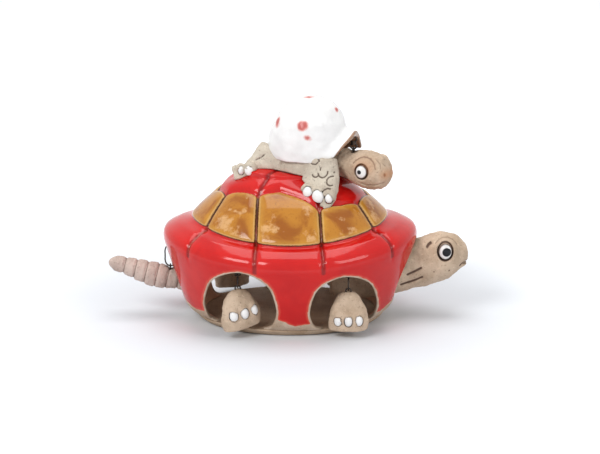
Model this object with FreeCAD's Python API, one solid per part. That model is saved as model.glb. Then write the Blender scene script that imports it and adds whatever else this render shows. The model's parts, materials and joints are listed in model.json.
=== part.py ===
import FreeCAD, Part
import math
import os

from FreeCAD import Vector

# Turtle figurine of hand-built clay, lengths in millimetres and angles in degrees.
# The origin is the middle of the underside, +Z is up, +X points to the head and +Y to the turtle's left.

# Mother's shell: hollow, open below, standing on a flat slab
shell_length = 114.0
shell_width = 94.4
shell_height = 66.5
shell_wall = 2.8
slab_thickness = 3.0
slab_draft = 3.6
shell_sides = 44
shell_row_steps = 1
cavity_sides = 32

# Rings of the shell from the slab up: shares of the half length, the half width and the rise,
# and the share of the rise by which the ring lies lower at the sides than at the ends
shell_ring_shares = (
    (0.747, 0.754, 0.0, 0.0),
    (0.816, 0.816, 0.060, 0.008),
    (0.868, 0.869, 0.173, 0.024),
    (0.933, 0.932, 0.346, 0.055),
    (0.979, 0.981, 0.480, 0.079),
    (1.0, 1.0, 0.559, 0.091),
    (0.975, 0.975, 0.619, 0.091),
    (0.886, 0.900, 0.665, 0.087),
    (0.800, 0.844, 0.690, 0.087),
    (0.768, 0.812, 0.694, 0.087),
    (0.772, 0.818, 0.711, 0.085),
    (0.675, 0.731, 0.783, 0.063),
    (0.553, 0.604, 0.874, 0.039),
    (0.456, 0.487, 0.929, 0.024),
    (0.246, 0.265, 1.0, 0.0),
)

# Grooves between the plates of the shell, each from a high to a low place in plan
groove_width = 1.2
groove_depth = 1.2
groove_foot_share = 0.52
groove_plan_shares = (
    ((-0.493, 0.248), (-0.775, 0.622)),
    ((-0.243, 0.425), (-0.252, 0.961)),
    ((0.216, 0.560), (0.246, 0.961)),
    ((0.521, 0.314), (0.784, 0.618)),
)

# Plan of the raised top, on the left flank from the rear to the front, mirrored to the right
top_groove_steps = 2
top_plan_shares = (
    (-0.56, 0.0),
    (-0.493, 0.248),
    (-0.243, 0.425),
    (-0.075, 0.413),
    (0.216, 0.560),
    (0.387, 0.449),
    (0.521, 0.314),
    (0.60, 0.0),
)

# Leg openings, cut straight through both flanks
sill_height = 0.2
rear_opening_width = 32.0
rear_opening_height_share = 0.4126
rear_opening_x_share = -0.379
front_opening_width = 29.5
front_opening_height_share = 0.3764
front_opening_x_share = 0.423
opening_steps = 3
neck_opening_sides = 24
tail_opening_sides = 16
opening_outline_shares = (
    (0.0, 0.0),
    (0.38, 0.02),
    (0.49, 0.20),
    (0.5, 0.45),
    (0.37, 0.82),
    (0.0, 1.0),
)

# Iron wire, and the eyes and loops bent from it
wire_radius = 0.35
wire_sides = 6
eye_radius = 1.15
eye_rise = 1.5
eye_depth = 4.0
loop_radius = 1.7
loop_waist = 0.55
loop_waist_share = 0.25
loop_open_angle = 40
loop_arc_steps = 6
running_gap = 0.12
seat_gap = 0.06
overrun = 1.0
flat_limit = 1e-8

# Clay lugs inside the shell that carry the loops
lug_width = 4.6
lug_thickness = 1.9
lug_hole_radius = 1.05
lug_nose_steps = 6
lug_hole_sides = 10
leg_lug_share = 0.529
neck_lug_share = 0.576

# Feet
foot_width = 17.4
foot_depth = 8.8
foot_headroom = 6.5
clay_sides = 14
foot_ring_shares = (
    (0.0, 0.90, 0.88, 0.0),
    (0.07, 0.98, 0.98, 0.0),
    (0.28, 1.0, 1.0, 0.03),
    (0.50, 0.92, 0.96, 0.0),
    (0.72, 0.74, 0.84, -0.06),
    (0.90, 0.50, 0.64, -0.10),
    (1.0, 0.24, 0.34, -0.10),
)
claw_width = 3.3
claw_height = 4.9
claw_proud = 1.1
claw_root = 1.8
claw_sides = 8
claw_spacing = 4.7
claw_lift_share = 0.27
claw_fan = 22.0

# Rings of a claw: shares of its length and of its width
claw_ring_shares = (
    (0.0, 1.0),
    (0.7, 1.0),
    (1.0, 0.5),
)

# Where each foot hangs: its sole from its opening's middle and the shell's flank, its turn and its tilt
front_foot_ahead = 1.5
front_foot_out_share = 0.7458
front_foot_lift = 3.3
rear_foot_out_share = 0.7331
rear_right_foot_lift = 4.5
rear_right_foot_turn = 30.0
rear_right_foot_tilt = 9.0
rear_left_foot_behind = 5.9
rear_left_foot_lift = 3.3
rear_left_foot_turn = 28.0

# Head and neck, one piece, measured from the tip of the beak back to the neck's inner end
head_overhang = 23.1
head_length = 62.0
head_width = 22.4
head_floor = 8.0
neck_drop = 1.2
neck_loop_share = 0.31
head_ring_shares = (
    (0.0, 0.56, 0.74, 0.16),
    (0.012, 0.50, 0.82, 0.36),
    (0.045, 0.46, 0.89, 0.58),
    (0.095, 0.36, 0.96, 0.76),
    (0.17, 0.27, 1.0, 0.94),
    (0.25, 0.22, 0.98, 0.98),
    (0.33, 0.18, 0.93, 0.93),
    (0.42, 0.13, 0.88, 0.96),
    (0.56, 0.06, 0.82, 1.0),
    (0.74, 0.0, 0.76, 1.0),
    (0.92, 0.0, 0.68, 0.94),
    (1.0, 0.08, 0.56, 0.66),
)
mouth_height_share = 0.50
mouth_length = 9.0
mouth_gape = 0.9
eyeball_width = 6.6
eyeball_height = 8.2
eyeball_depth = 3.6
eyeball_proud = 1.3
eyeball_sides = 12
eyeball_from_beak = 10.4
eyeball_height_share = 0.80

# Rings of the part of an eyeball that stands proud: shares of how far it stands proud and of its width
eyeball_ring_shares = (
    (0.0, 1.0),
    (0.6, 0.78),
    (1.0, 0.42),
)

# Room around the neck and the tail in their openings
neck_opening_share = 0.40
neck_gap_height = 4.0
neck_gap_width = 4.2
neck_gap_drop = 1.2
tail_gap_width = 4.4
tail_gap_height = 5.8
tail_gap_drop = 0.7
tail_wire_hole_radius = 1.35

# Ringed tail
tail_overhang = 25.0
tail_length = 46.2
tail_tip_radius = 2.2
tail_root_radius = 5.2
tail_tip_share = 0.3433
tail_slope = 14.0
tail_rings = 8
tail_sides = 10
tail_ring_groove = 0.55
tail_ring_groove_share = 0.16
tail_rounding_share = 0.5
tail_hole_share = 0.4646
tail_loop_half_width = 4.2
tail_eye_inset = 2.9

# Young turtle on the back, in its own frame: x ahead, y to its left, turned on the mother's crown
young_x = 9.0
young_y = -1.0
young_turn = -18.0
young_sides = 18
body_length = 34.0
body_width = 32.0
body_sink = 10.5
body_height = 20.0
body_ring_shares = (
    (0.0, 0.92),
    (0.5, 1.0),
    (0.8, 1.0),
    (1.0, 0.96),
)
dome_radius = 16.4
dome_height = 25.2
dome_wall = 2.4
dome_ring_shares = (
    (0.0, 0.955),
    (0.16, 0.99),
    (0.36, 1.0),
    (0.56, 0.94),
    (0.74, 0.80),
    (0.88, 0.59),
    (0.97, 0.32),
    (1.0, 0.10),
)

# Hood over the young turtle's neck opening, and the opening itself
hood_radius = 11.8
hood_wall = 2.6
hood_axis_drop = 1.5
hood_reach = 20.8
mouth_of_body = 16.0
hood_slope = 33.0
pocket_depth = 21.0

# Young turtle's legs, each a stack of ovals given as shares of the leg's own sizes
front_leg_width = 17.6
front_leg_depth = 11.0
front_leg_height = 21.0
front_leg_out = 9.0
front_leg_x = 8.4
front_leg_root_y = 10.0
front_leg_ring_shares = (
    (0.0, 0.86, 0.80, 1.0),
    (0.26, 0.92, 0.92, 0.96),
    (0.50, 1.0, 1.0, 0.78),
    (0.78, 1.0, 1.0, 0.40),
    (1.0, 0.88, 0.74, 0.0),
)
hind_leg_length = 24.0
hind_leg_width = 10.6
hind_leg_root_x = -10.0
hind_leg_root_y = 8.5
hind_leg_out = 5.4
hind_leg_height = 24.4
hind_leg_ring_shares = (
    (0.0, 0.0, 0.84, 1.0, 0.0),
    (0.26, 0.0, 0.93, 1.0, 0.05),
    (0.46, 0.0, 1.0, 0.96, 0.15),
    (0.66, 0.0, 0.72, 0.96, 0.50),
    (0.86, 0.0, 0.50, 0.90, 0.86),
    (1.0, 0.0, 0.36, 0.64, 1.0),
)
young_claw_width = 3.4
young_claw_height = 4.8
young_claw_proud = 1.1
young_claw_root = 1.8
front_claw_spacing = 4.4
front_claw_lift = 7.6
hind_claw_spacing = 3.2
hind_claw_lift = 9.2
hind_claw_back_share = 0.9
hind_claw_turn = 35.0
hind_claw_width_share = 0.8
hind_claw_height_share = 0.8

# Young turtle's head and neck
young_head_tip = 38.0
young_head_length = 41.0
young_head_drop = 13.7
young_head_height = 17.0
young_head_width = 17.0
young_head_ring_shares = (
    (0.0, 0.28, 0.66, 0.38),
    (0.03, 0.14, 0.80, 0.66),
    (0.09, 0.04, 0.90, 0.86),
    (0.22, 0.0, 0.98, 1.0),
    (0.34, 0.05, 0.98, 0.98),
    (0.45, 0.20, 0.98, 0.84),
    (0.52, 0.30, 1.0, 0.76),
    (0.75, 0.38, 1.0, 0.76),
    (0.96, 0.48, 1.0, 0.74),
    (1.0, 0.56, 0.92, 0.58),
)
young_eyeball_width = 5.6
young_eyeball_depth = 3.0
young_eyeball_proud = 0.9
young_eyeball_from_tip = 10.4
young_eyeball_height_share = 0.60
young_mouth_length = 8.0
young_mouth_height_share = 0.22
young_loop_radius = 2.3
young_loop_inset = 0.7
young_loop_lift = 0.6
young_hole_radius = 1.1

half_length = shell_length / 2
half_width = shell_width / 2
shell_rise = shell_height - slab_thickness
leg_lug_height = slab_thickness + leg_lug_share * shell_rise
neck_lug_height = slab_thickness + neck_lug_share * shell_rise
head_height = neck_lug_height - neck_drop - head_floor
body_low = shell_height - body_sink
body_top = body_low + body_height
hood_axis_height = body_top - hood_axis_drop
front_leg_low = body_top - front_leg_height
young_head_low = hood_axis_height - young_head_drop
rear_opening_x = rear_opening_x_share * half_length
front_opening_x = front_opening_x_share * half_length
rear_opening_height = rear_opening_height_share * shell_rise
front_opening_height = front_opening_height_share * shell_rise
foot_height = front_opening_height - foot_headroom
tail_tip_height = slab_thickness + tail_tip_share * shell_rise
tail_loop_height = slab_thickness + tail_hole_share * shell_rise


def turned(x, y, degrees):
    """A plan vector turned about the upright."""
    angle = math.radians(degrees)
    return Vector(x * math.cos(angle) - y * math.sin(angle), x * math.sin(angle) + y * math.cos(angle), 0)


def oval(centre, side, top, half_side, half_top, sides):
    """Corners of an oval ring about a centre."""
    corners = []
    for step in range(sides):
        turn = 2 * math.pi * (step + 0.5) / sides
        corners.append(centre + side * (half_side * math.cos(turn)) + top * (half_top * math.sin(turn)))
    return corners


def flat_patch(corners):
    """One flat face, or two where the four corners aren't in one plane."""
    first, second, third, fourth = corners
    normal = (third - first).cross(fourth - second)
    if abs(normal.dot(second - first)) < normal.Length * flat_limit:
        outlines = [[first, second, third, fourth, first]]
    else:
        outlines = [[first, second, third, first], [first, third, fourth, first]]
    return [Part.Face(Part.makePolygon(outline)) for outline in outlines]


def faceted(rings, closed=False):
    """A solid with flat faces between rings of corners, capped unless the rings close on themselves."""
    pairs = list(zip(rings, rings[1:]))
    faces = []
    if closed:
        pairs.append((rings[-1], rings[0]))
    else:
        for cap in (rings[0], rings[-1]):
            faces.append(Part.Face(Part.makePolygon(cap + [cap[0]])))
    for lower, upper in pairs:
        for step in range(len(lower)):
            after = (step + 1) % len(lower)
            faces.extend(flat_patch([lower[step], lower[after], upper[after], upper[step]]))
    shell = Part.makeShell(faces)
    shell.sewShape()
    solid = Part.makeSolid(shell)
    if solid.Volume < 0:
        solid.reverse()
    return solid


def carved(shape, cutters):
    """The one solid that is left of a shape when the cutters are taken out of it."""
    return max(shape.cut(cutters).Solids, key=lambda solid: solid.Volume)


def bent_wire(points, flat, radius, closed):
    """Wire of a given radius bent along points in one plane, whose normal is flat."""
    rings = []
    last = len(points) - 1
    for index, point in enumerate(points):
        before = points[index - 1] if closed or index > 0 else point
        after = points[(index + 1) % len(points)] if closed or index < last else point
        into = (point - before) if (point - before).Length > 0 else (after - point)
        onward = (after - point) if (after - point).Length > 0 else (point - before)
        into.normalize()
        onward.normalize()
        along = into + onward
        along.normalize()
        side = flat.cross(along)
        side.normalize()
        rings.append(oval(point, side, flat, radius / along.dot(into), radius, wire_sides))
    return faceted(rings, closed)


def arc_points(centre, side, top, radius, start, end, steps):
    """Points on an arc, from the start angle to the end angle."""
    points = []
    for step in range(steps + 1):
        angle = math.radians(start + (end - start) * step / steps)
        points.append(centre + side * (radius * math.cos(angle)) + top * (radius * math.sin(angle)))
    return points


def ring_sizes(shares):
    """Half length, half width, height and side drop of a ring of the shell."""
    length_share, width_share, rise_share, drop_share = shares
    height = slab_thickness + rise_share * shell_rise
    return Vector(length_share * half_length, width_share * half_width, height), drop_share * shell_rise


def blended(before, start, stop, after, part):
    """A value on the smooth curve from start to stop, given the values on both sides of them."""
    start_slope = (stop - before) * 0.5
    stop_slope = (after - start) * 0.5
    square = part * part
    cube = square * part
    value = start * (2 * cube - 3 * square + 1) + start_slope * (cube - 2 * square + part)
    return value + stop * (3 * square - 2 * cube) + stop_slope * (cube - square)


def shell_rows(steps):
    """Ring sizes from the slab to the crown, with smooth rows worked out between the given ones."""
    given = [ring_sizes(shares) for shares in shell_ring_shares]
    last = len(given) - 1
    rows = []
    for index in range(last):
        around = [given[max(index - 1, 0)], given[index], given[index + 1], given[min(index + 2, last)]]
        for step in range(steps):
            part = step / steps
            sizes = blended(*[row[0] for row in around], part)
            drop = blended(*[row[1] for row in around], part)
            rows.append((sizes, drop))
    rows.append(given[last])
    return rows


def inset_row(rows, index, inset):
    """One row of the shell moved into the clay, square to the shell's profile."""
    sizes, drop = rows[index]
    before = rows[max(index - 1, 0)][0]
    after = rows[min(index + 1, len(rows) - 1)][0]
    run = after.x - before.x
    rise = after.z - before.z
    outward = rise / math.hypot(run, rise)
    upward = -run / math.hypot(run, rise)
    if index == 0:
        outward = 1
        upward = 0
    return sizes - Vector(outward, outward, upward) * inset, drop


def shell_form(steps, sides, inset):
    """The shell's outside as one solid of flat facets, moved into the clay by an inset."""
    rows = shell_rows(steps)
    rings = []
    for index in range(len(rows)):
        sizes, drop = inset_row(rows, index, inset)
        ring = []
        for step in range(sides):
            turn = 2 * math.pi * step / sides
            across = math.sin(turn)
            ring.append(Vector(sizes.x * math.cos(turn), sizes.y * across, sizes.z - drop * across * across))
        rings.append(ring)
    return faceted(rings)


def rounded_outline(shares, steps):
    """Points of a smooth closed outline through share points of one half, mirrored to the other."""
    given = [Vector(across, 0, up) for across, up in shares]
    given += [Vector(-across, 0, up) for across, up in shares[-2:0:-1]]
    count = len(given)
    points = []
    for index in range(count):
        around = [given[(index + offset) % count] for offset in (-1, 0, 1, 2)]
        points += [blended(*around, step / steps) for step in range(steps)]
    return points


def opening_cutter(centre_x, width, height):
    """A bar with the outline of a leg opening, through both flanks."""
    low = slab_thickness + sill_height
    rings = []
    for y in (-half_width - overrun, half_width + overrun):
        outline = rounded_outline(opening_outline_shares, opening_steps)
        rings.append([Vector(centre_x + point.x * width, y, low + point.z * height) for point in outline])
    return faceted(rings)


def round_bar(start, stop, half_wide, half_high, sides):
    """An oval bar along X from one place to another."""
    side = Vector(0, 1, 0)
    up = Vector(0, 0, 1)
    return faceted([oval(end, side, up, half_wide, half_high, sides) for end in (start, stop)])


def groove_blade(start, stop):
    """An upright blade whose edge follows the shell at the groove's depth, outwards from a place in plan."""
    along = stop - start
    reach = along.Length + overrun
    along.normalize()
    foot = slab_thickness + groove_foot_share * shell_rise
    rows = shell_rows(shell_row_steps)
    edge = []
    for index in range(len(rows)):
        sizes, drop = inset_row(rows, index, groove_depth)
        square = (along.x / sizes.x) ** 2 + (along.y / sizes.y) ** 2
        cross = start.x * along.x / sizes.x ** 2 + start.y * along.y / sizes.y ** 2
        rest = (start.x / sizes.x) ** 2 + (start.y / sizes.y) ** 2 - 1
        if rest > 0 or sizes.z <= foot:
            continue
        distance = (math.sqrt(cross * cross - square * rest) - cross) / square
        place = start + along * distance
        lift = sizes.z - drop * (place.y / sizes.y) ** 2
        edge.append(Vector(place.x, place.y, lift))
    far = start + along * (reach + 2 * shell_wall)
    edge.append(Vector(start.x, start.y, crown_height(start, groove_depth)))
    edge.append(Vector(start.x, start.y, shell_height + overrun))
    edge.append(Vector(far.x, far.y, shell_height + overrun))
    edge.append(Vector(far.x, far.y, edge[0].z))
    face = Part.Face(Part.makePolygon(edge + [edge[0]]))
    thickness = Vector(-along.y, along.x, 0) * groove_width
    face.translate(thickness * -0.5)
    return face.extrude(thickness)


def crown_height(place, inset):
    """The height of the shell's crown over a place in plan, moved into the clay by an inset."""
    rows = shell_rows(shell_row_steps)
    outer = None
    for index in range(len(rows)):
        sizes, drop = inset_row(rows, index, inset)
        ratio = math.hypot(place.x / sizes.x, place.y / sizes.y)
        lift = sizes.z - drop * (place.y / sizes.y) ** 2
        if outer and outer[0] < 1 <= ratio:
            part = (1 - outer[0]) / (ratio - outer[0])
            return outer[1] + (lift - outer[1]) * part
        outer = (ratio, lift)
    return lift


def top_blade(start, stop):
    """An upright blade along one edge of the raised top, its lower edge at the groove's depth."""
    along = stop - start
    places = [start + along * (step / top_groove_steps) for step in range(top_groove_steps + 1)]
    edge = [Vector(place.x, place.y, crown_height(place, groove_depth)) for place in places]
    edge.append(Vector(stop.x, stop.y, shell_height + overrun))
    edge.append(Vector(start.x, start.y, shell_height + overrun))
    face = Part.Face(Part.makePolygon(edge + [edge[0]]))
    along.normalize()
    thickness = Vector(-along.y, along.x, 0) * groove_width
    face.translate(thickness * -0.5)
    return face.extrude(thickness)


def groove_cutters():
    """The blades of all grooves, alike on both flanks."""
    blades = []
    for side in (1, -1):
        for high, low in groove_plan_shares:
            start = Vector(high[0] * half_length, side * high[1] * half_width, 0)
            stop = Vector(low[0] * half_length, side * low[1] * half_width, 0)
            blades.append(groove_blade(start, stop))
        corners = [Vector(u * half_length, side * v * half_width, 0) for u, v in top_plan_shares]
        blades += [top_blade(start, stop) for start, stop in zip(corners, corners[1:])]
    return blades


def head_shape_limits():
    """Height and width of the neck where it passes the shell's opening."""
    low, high, wide = [between(head_ring_shares, neck_opening_share, column) for column in (1, 2, 3)]
    return head_floor + low * head_height, head_floor + high * head_height, wide * head_width


def tail_axis(distance):
    """A place on the tail's axis, measured back from its tip."""
    angle = math.radians(tail_slope)
    tip = Vector(-half_length - tail_overhang, 0, tail_tip_height)
    return tip + Vector(distance * math.cos(angle), 0, -distance * math.sin(angle))


def tail_opening_height():
    """The height of the middle of the tail's opening, a little below the tail's axis at the rear wall."""
    return tail_axis(tail_overhang / math.cos(math.radians(tail_slope)) + shell_wall).z - tail_gap_drop


def tail_radius(distance):
    """Radius of the tail at a distance from its tip."""
    return tail_tip_radius + (tail_root_radius - tail_tip_radius) * distance / tail_length


def shell_piece(form, cavity):
    """The mother's shell with its openings, wire hole and scored plates."""
    shell = carved(form, [cavity])
    cutters = [
        opening_cutter(rear_opening_x, rear_opening_width, rear_opening_height),
        opening_cutter(front_opening_x, front_opening_width, front_opening_height),
    ]
    low, high, wide = head_shape_limits()
    middle = Vector(half_length / 2, 0, (low + high) / 2 - neck_gap_drop)
    ahead = middle + Vector(half_length, 0, 0)
    high_radius = (high - low) / 2 + neck_gap_height
    cutters.append(round_bar(middle, ahead, wide / 2 + neck_gap_width, high_radius, neck_opening_sides))
    behind = Vector(-half_length - overrun, 0, 0)
    inside_end = Vector(-half_length / 2, 0, 0)
    radius = tail_radius(tail_overhang)
    lift = Vector(0, 0, tail_opening_height())
    sizes = (radius + tail_gap_width, radius + tail_gap_height, tail_opening_sides)
    cutters.append(round_bar(behind + lift, inside_end + lift, *sizes))
    lift = Vector(0, 0, tail_loop_height)
    sizes = (tail_wire_hole_radius, tail_wire_hole_radius, lug_hole_sides)
    cutters.append(round_bar(behind + lift, inside_end + lift, *sizes))
    shell = carved(shell, cutters)
    return carved(shell, groove_cutters())


def slab_piece():
    """The flat slab that the figurine stands on, with a slightly drawn-in underside."""
    top = shell_rows(1)[0][0]
    ahead = Vector(1, 0, 0)
    left = Vector(0, 1, 0)
    rings = []
    for height, draft in ((0, slab_draft), (slab_thickness / 3, slab_draft / 2), (slab_thickness, 0)):
        centre = Vector(0, 0, height)
        rings.append(oval(centre, ahead, left, top.x - draft, top.y - draft, shell_sides))
    return faceted(rings)


def lug_piece(x, y, hole_height, across, cavity):
    """A clay tab under the shell's roof with a hole for a wire loop. The hole runs along across."""
    up = Vector(0, 0, 1)
    side = up.cross(across)
    centre = Vector(x, y, hole_height) - across * (lug_thickness / 2)
    nose = arc_points(centre, side, up, lug_width / 2, 180, 360, lug_nose_steps)
    rise = up * (shell_height - hole_height)
    outline = [nose[0] + rise] + nose + [nose[-1] + rise]
    hole = oval(centre, side, up, lug_hole_radius, lug_hole_radius, lug_hole_sides)
    back = across * lug_thickness
    tab = faceted([outline, [point + back for point in outline]])
    pin = faceted([[point - back for point in hole], [point + back * 2 for point in hole]])
    return carved(tab, [pin]).common(cavity).Solids[0]


def loop_piece(top, low, across):
    """A closed loop of wire with a narrow waist, from the top of its upper bend to its lower bend."""
    flat = Vector(0, 0, 1).cross(across)
    up = Vector(0, 0, 1)
    upper = top - up * loop_radius
    lower = low + up * loop_radius
    waist = (lower - upper) * loop_waist_share - up * (loop_radius / 2)
    start = -loop_open_angle
    stop = 180 + loop_open_angle
    points = arc_points(upper, across, up, loop_radius, start, stop, loop_arc_steps)
    points.append(upper + waist - across * loop_waist)
    points.append(lower - waist - across * loop_waist)
    points += arc_points(lower, -across, -up, loop_radius, start, stop, loop_arc_steps)
    points.append(lower - waist + across * loop_waist)
    points.append(upper + waist + across * loop_waist)
    return bent_wire(points, flat, wire_radius, True)


def oval_loop_piece(top, low, across, radius):
    """A closed oval loop of wire, from the top of its upper bend to the bottom of its lower bend."""
    flat = Vector(0, 0, 1).cross(across)
    up = Vector(0, 0, 1)
    points = arc_points(top - up * radius, across, up, radius, 0, 180, loop_arc_steps)
    points += arc_points(low + up * radius, across, up, radius, 180, 360, loop_arc_steps)
    return bent_wire(points, flat, wire_radius, True)


def eye_piece(foot, across, radius):
    """A wire eye that stands out of the clay at its foot, its bend lying along across."""
    up = Vector(0, 0, 1)
    flat = up.cross(across)
    centre = foot + up * (eye_rise - eye_radius)
    points = [centre + across * eye_radius - up * eye_depth]
    points += arc_points(centre, across, up, eye_radius, 0, 180, loop_arc_steps)
    points.append(centre - across * eye_radius - up * eye_depth)
    return bent_wire(points, flat, radius, False)


def top_at(shape, x, y):
    """The height of the top of a shape over a place in plan."""
    line = Part.makeLine(Vector(x, y, 0), Vector(x, y, 2 * shell_height))
    return shape.common(line).BoundBox.ZMax


def claw_shape(root, out, width, height, depth, grow):
    """A bevelled oval claw that points out of the clay from its root, made larger by grow for a socket."""
    side = Vector(0, 0, 1).cross(out)
    side.normalize()
    top = out.cross(side)
    rings = []
    for reach, wide in claw_ring_shares:
        place = root + out * ((depth + 2 * grow) * reach - grow)
        rings.append(oval(place, side, top, width * wide / 2 + grow, height * wide / 2 + grow, claw_sides))
    return faceted(rings)


def foot_blank(turn, tilt, place):
    """A foot without claws, with its toes out along its own minus Y before it is turned and placed."""
    rings = []
    for up, wide, deep, back in foot_ring_shares:
        centre = Vector(0, -back * foot_depth, up * foot_height)
        half_wide = wide * foot_width / 2
        half_deep = deep * foot_depth / 2
        rings.append(oval(centre, Vector(1, 0, 0), Vector(0, 1, 0), half_wide, half_deep, clay_sides))
    return placed(faceted(rings), turn, tilt, place)


def placed(shape, turn, tilt, place):
    """A shape tilted about its own Y, turned about the upright and moved to its place."""
    shape.rotate(Vector(0, 0, 0), Vector(0, 1, 0), -tilt)
    shape.rotate(Vector(0, 0, 0), Vector(0, 0, 1), turn)
    shape.translate(place)
    return shape


def foot_claws(turn, tilt, place, grow):
    """The three claws of a foot, or their sockets."""
    claws = []
    for step in (-1, 0, 1):
        fan = step * claw_fan
        out = turned(0, -1, fan)
        side = step * claw_spacing / (foot_width / 2)
        front = foot_depth / 2 * math.sqrt(1 - side * side)
        tip = Vector(step * claw_spacing, -front, claw_lift_share * foot_height)
        root = tip - out * claw_root
        claw = claw_shape(root, out, claw_width, claw_height, claw_root + claw_proud, grow)
        claws.append(placed(claw, turn, tilt, place))
    return claws


def save(name, shape):
    """Write one piece."""
    shape.exportStep("parts/" + name + ".step")


def seat_eye(blank, x, y, across):
    """Cut the holes of a wire eye over a place, and give the cut blank, the eye and the top of the clay."""
    foot = Vector(x, y, top_at(blank, x, y))
    eye = eye_piece(foot, across, wire_radius)
    holes = eye_piece(foot - Vector(0, 0, seat_gap), across, wire_radius + seat_gap)
    return carved(blank, [holes]), eye, foot


def loop_low(foot):
    """The lowest wire centre of a loop that carries an eye standing on a foot."""
    return foot + Vector(0, 0, eye_rise - 2 * wire_radius - running_gap)


def hung_foot(name, turn, tilt, place, cavity):
    """A foot, its claws, its eye over its balance point, its loop and its lug."""
    blank = foot_blank(turn, tilt, place)
    balance = blank.CenterOfMass
    across = Vector(0, 1, 0)
    blank, eye, foot = seat_eye(blank, balance.x, balance.y, Vector(1, 0, 0))
    low = loop_low(foot)
    top = Vector(balance.x, balance.y, leg_lug_height)
    save("foot_" + name, carved(blank, foot_claws(turn, tilt, place, seat_gap)))
    save("claws_" + name, Part.makeCompound(foot_claws(turn, tilt, place, 0)))
    save("eye_" + name, eye)
    save("loop_" + name, loop_piece(top, low, across))
    save("lug_" + name, lug_piece(balance.x, balance.y, leg_lug_height, across, cavity))
    show_pivot("loop_" + name, top)
    show_pivot("foot_" + name, low + Vector(0, 0, loop_radius))


def show_pivot(name, place):
    """Print where a piece turns, for whoever describes the motion."""
    print("pivot", name, round(place.x, 4), round(place.y, 4), round(place.z, 4))


def section_stack(tip, along, length, floor, height, width, shares):
    """A clay form of upright ovals that follow one another back from its tip."""
    side = Vector(0, 0, 1).cross(along)
    rings = []
    for back, low, high, wide in shares:
        centre = tip - along * (back * length)
        centre = Vector(centre.x, centre.y, floor + (low + high) / 2 * height)
        half_high = (high - low) / 2 * height
        rings.append(oval(centre, side, Vector(0, 0, 1), wide * width / 2, half_high, clay_sides))
    return faceted(rings)


def oval_reach(shares, back_share, height_share):
    """How far a head's oval section reaches to the side at a height, as a share of the head's width."""
    low, high, wide = [between(shares, back_share, column) for column in (1, 2, 3)]
    off = (height_share - (low + high) / 2) / ((high - low) / 2)
    return wide / 2 * math.sqrt(1 - off * off)


def eyeball_shape(centre, out, width, height, depth, proud, grow):
    """A domed eyeball set into the clay, or its socket."""
    side = Vector(0, 0, 1).cross(out)
    up = Vector(0, 0, 1)
    root = centre - out * (depth + grow)
    rings = [oval(root, side, up, width / 2 + grow, height / 2 + grow, eyeball_sides)]
    for reach, share in eyeball_ring_shares:
        place = centre + out * (reach * (proud + grow))
        half_width_here = width / 2 * share + grow
        half_height_here = height / 2 * share + grow
        rings.append(oval(place, side, up, half_width_here, half_height_here, eyeball_sides))
    return faceted(rings)


def mother_head(cavity):
    """The mother's head and neck, its eyeballs, wire eye, loop and lug."""
    along = Vector(1, 0, 0)
    tip = Vector(half_length + head_overhang, 0, 0)
    head = section_stack(tip, along, head_length, head_floor, head_height, head_width, head_ring_shares)
    x = head.CenterOfMass.x
    reach = oval_reach(head_ring_shares, eyeball_from_beak / head_length, eyeball_height_share) * head_width
    height = head_floor + eyeball_height_share * head_height
    sizes = (eyeball_width, eyeball_height, eyeball_depth, eyeball_proud)
    for name, side in (("left", 1), ("right", -1)):
        centre = Vector(tip.x - eyeball_from_beak, side * reach, height)
        out = Vector(0, side, 0)
        save("head_eyeball_" + name, eyeball_shape(centre, out, *sizes, 0))
        head = carved(head, [eyeball_shape(centre, out, *sizes, seat_gap)])
    mouth = Part.makeBox(mouth_length + overrun, head_width, mouth_gape)
    mouth_height = head_floor + mouth_height_share * head_height
    mouth.translate(Vector(tip.x - mouth_length, -head_width / 2, mouth_height - mouth_gape / 2))
    head = carved(head, [mouth])
    head, eye, foot = seat_eye(head, x, 0, Vector(0, 1, 0))
    low = loop_low(foot)
    top = Vector(x, 0, neck_lug_height)
    radius = neck_loop_share * (top.z - low.z)
    save("head", head)
    save("eye_head", eye)
    save("loop_head", oval_loop_piece(top, low, along, radius))
    save("lug_head", lug_piece(x, 0, neck_lug_height, along, cavity))
    show_pivot("loop_head", top)
    show_pivot("head", low + Vector(0, 0, radius))


def tail_pieces():
    """The ringed tail, its wire eye and the loop through the rear wall."""
    angle = math.radians(tail_slope)
    up = Vector(math.sin(angle), 0, math.cos(angle))
    side = Vector(0, 1, 0)
    step_length = tail_length / tail_rings
    rings = [oval(tail_axis(0), side, up, tail_tip_radius * tail_rounding_share,
                  tail_tip_radius * tail_rounding_share, tail_sides)]
    for step in range(tail_rings):
        start = step * step_length
        stop = start + step_length * (1 - tail_ring_groove_share)
        begin = start + tail_tip_radius * tail_rounding_share if step == 0 else start
        notch = (stop + start + step_length) / 2
        for distance, cut in ((begin, 0), (stop, 0), (notch, tail_ring_groove)):
            radius = tail_radius(distance) - cut
            rings.append(oval(tail_axis(distance), side, up, radius, radius, tail_sides))
    tail = faceted(rings)
    x = -half_length + tail_eye_inset
    print("tail leans by", round(tail.CenterOfMass.x - x, 3))
    tail, eye, foot = seat_eye(tail, x, 0, Vector(0, 1, 0))
    low = loop_low(foot)
    top = Vector(x, 0, tail_loop_height)
    save("tail", tail)
    save("eye_tail", eye)
    save("loop_tail", oval_loop_piece(top, low, Vector(1, 0, 0), tail_loop_half_width))
    show_pivot("loop_tail", top)
    show_pivot("tail", low + Vector(0, 0, tail_loop_half_width))


def on_back(x, y, z):
    """A place in the young turtle's frame."""
    return turned(x, y, young_turn) + Vector(young_x, young_y, z)


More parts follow.
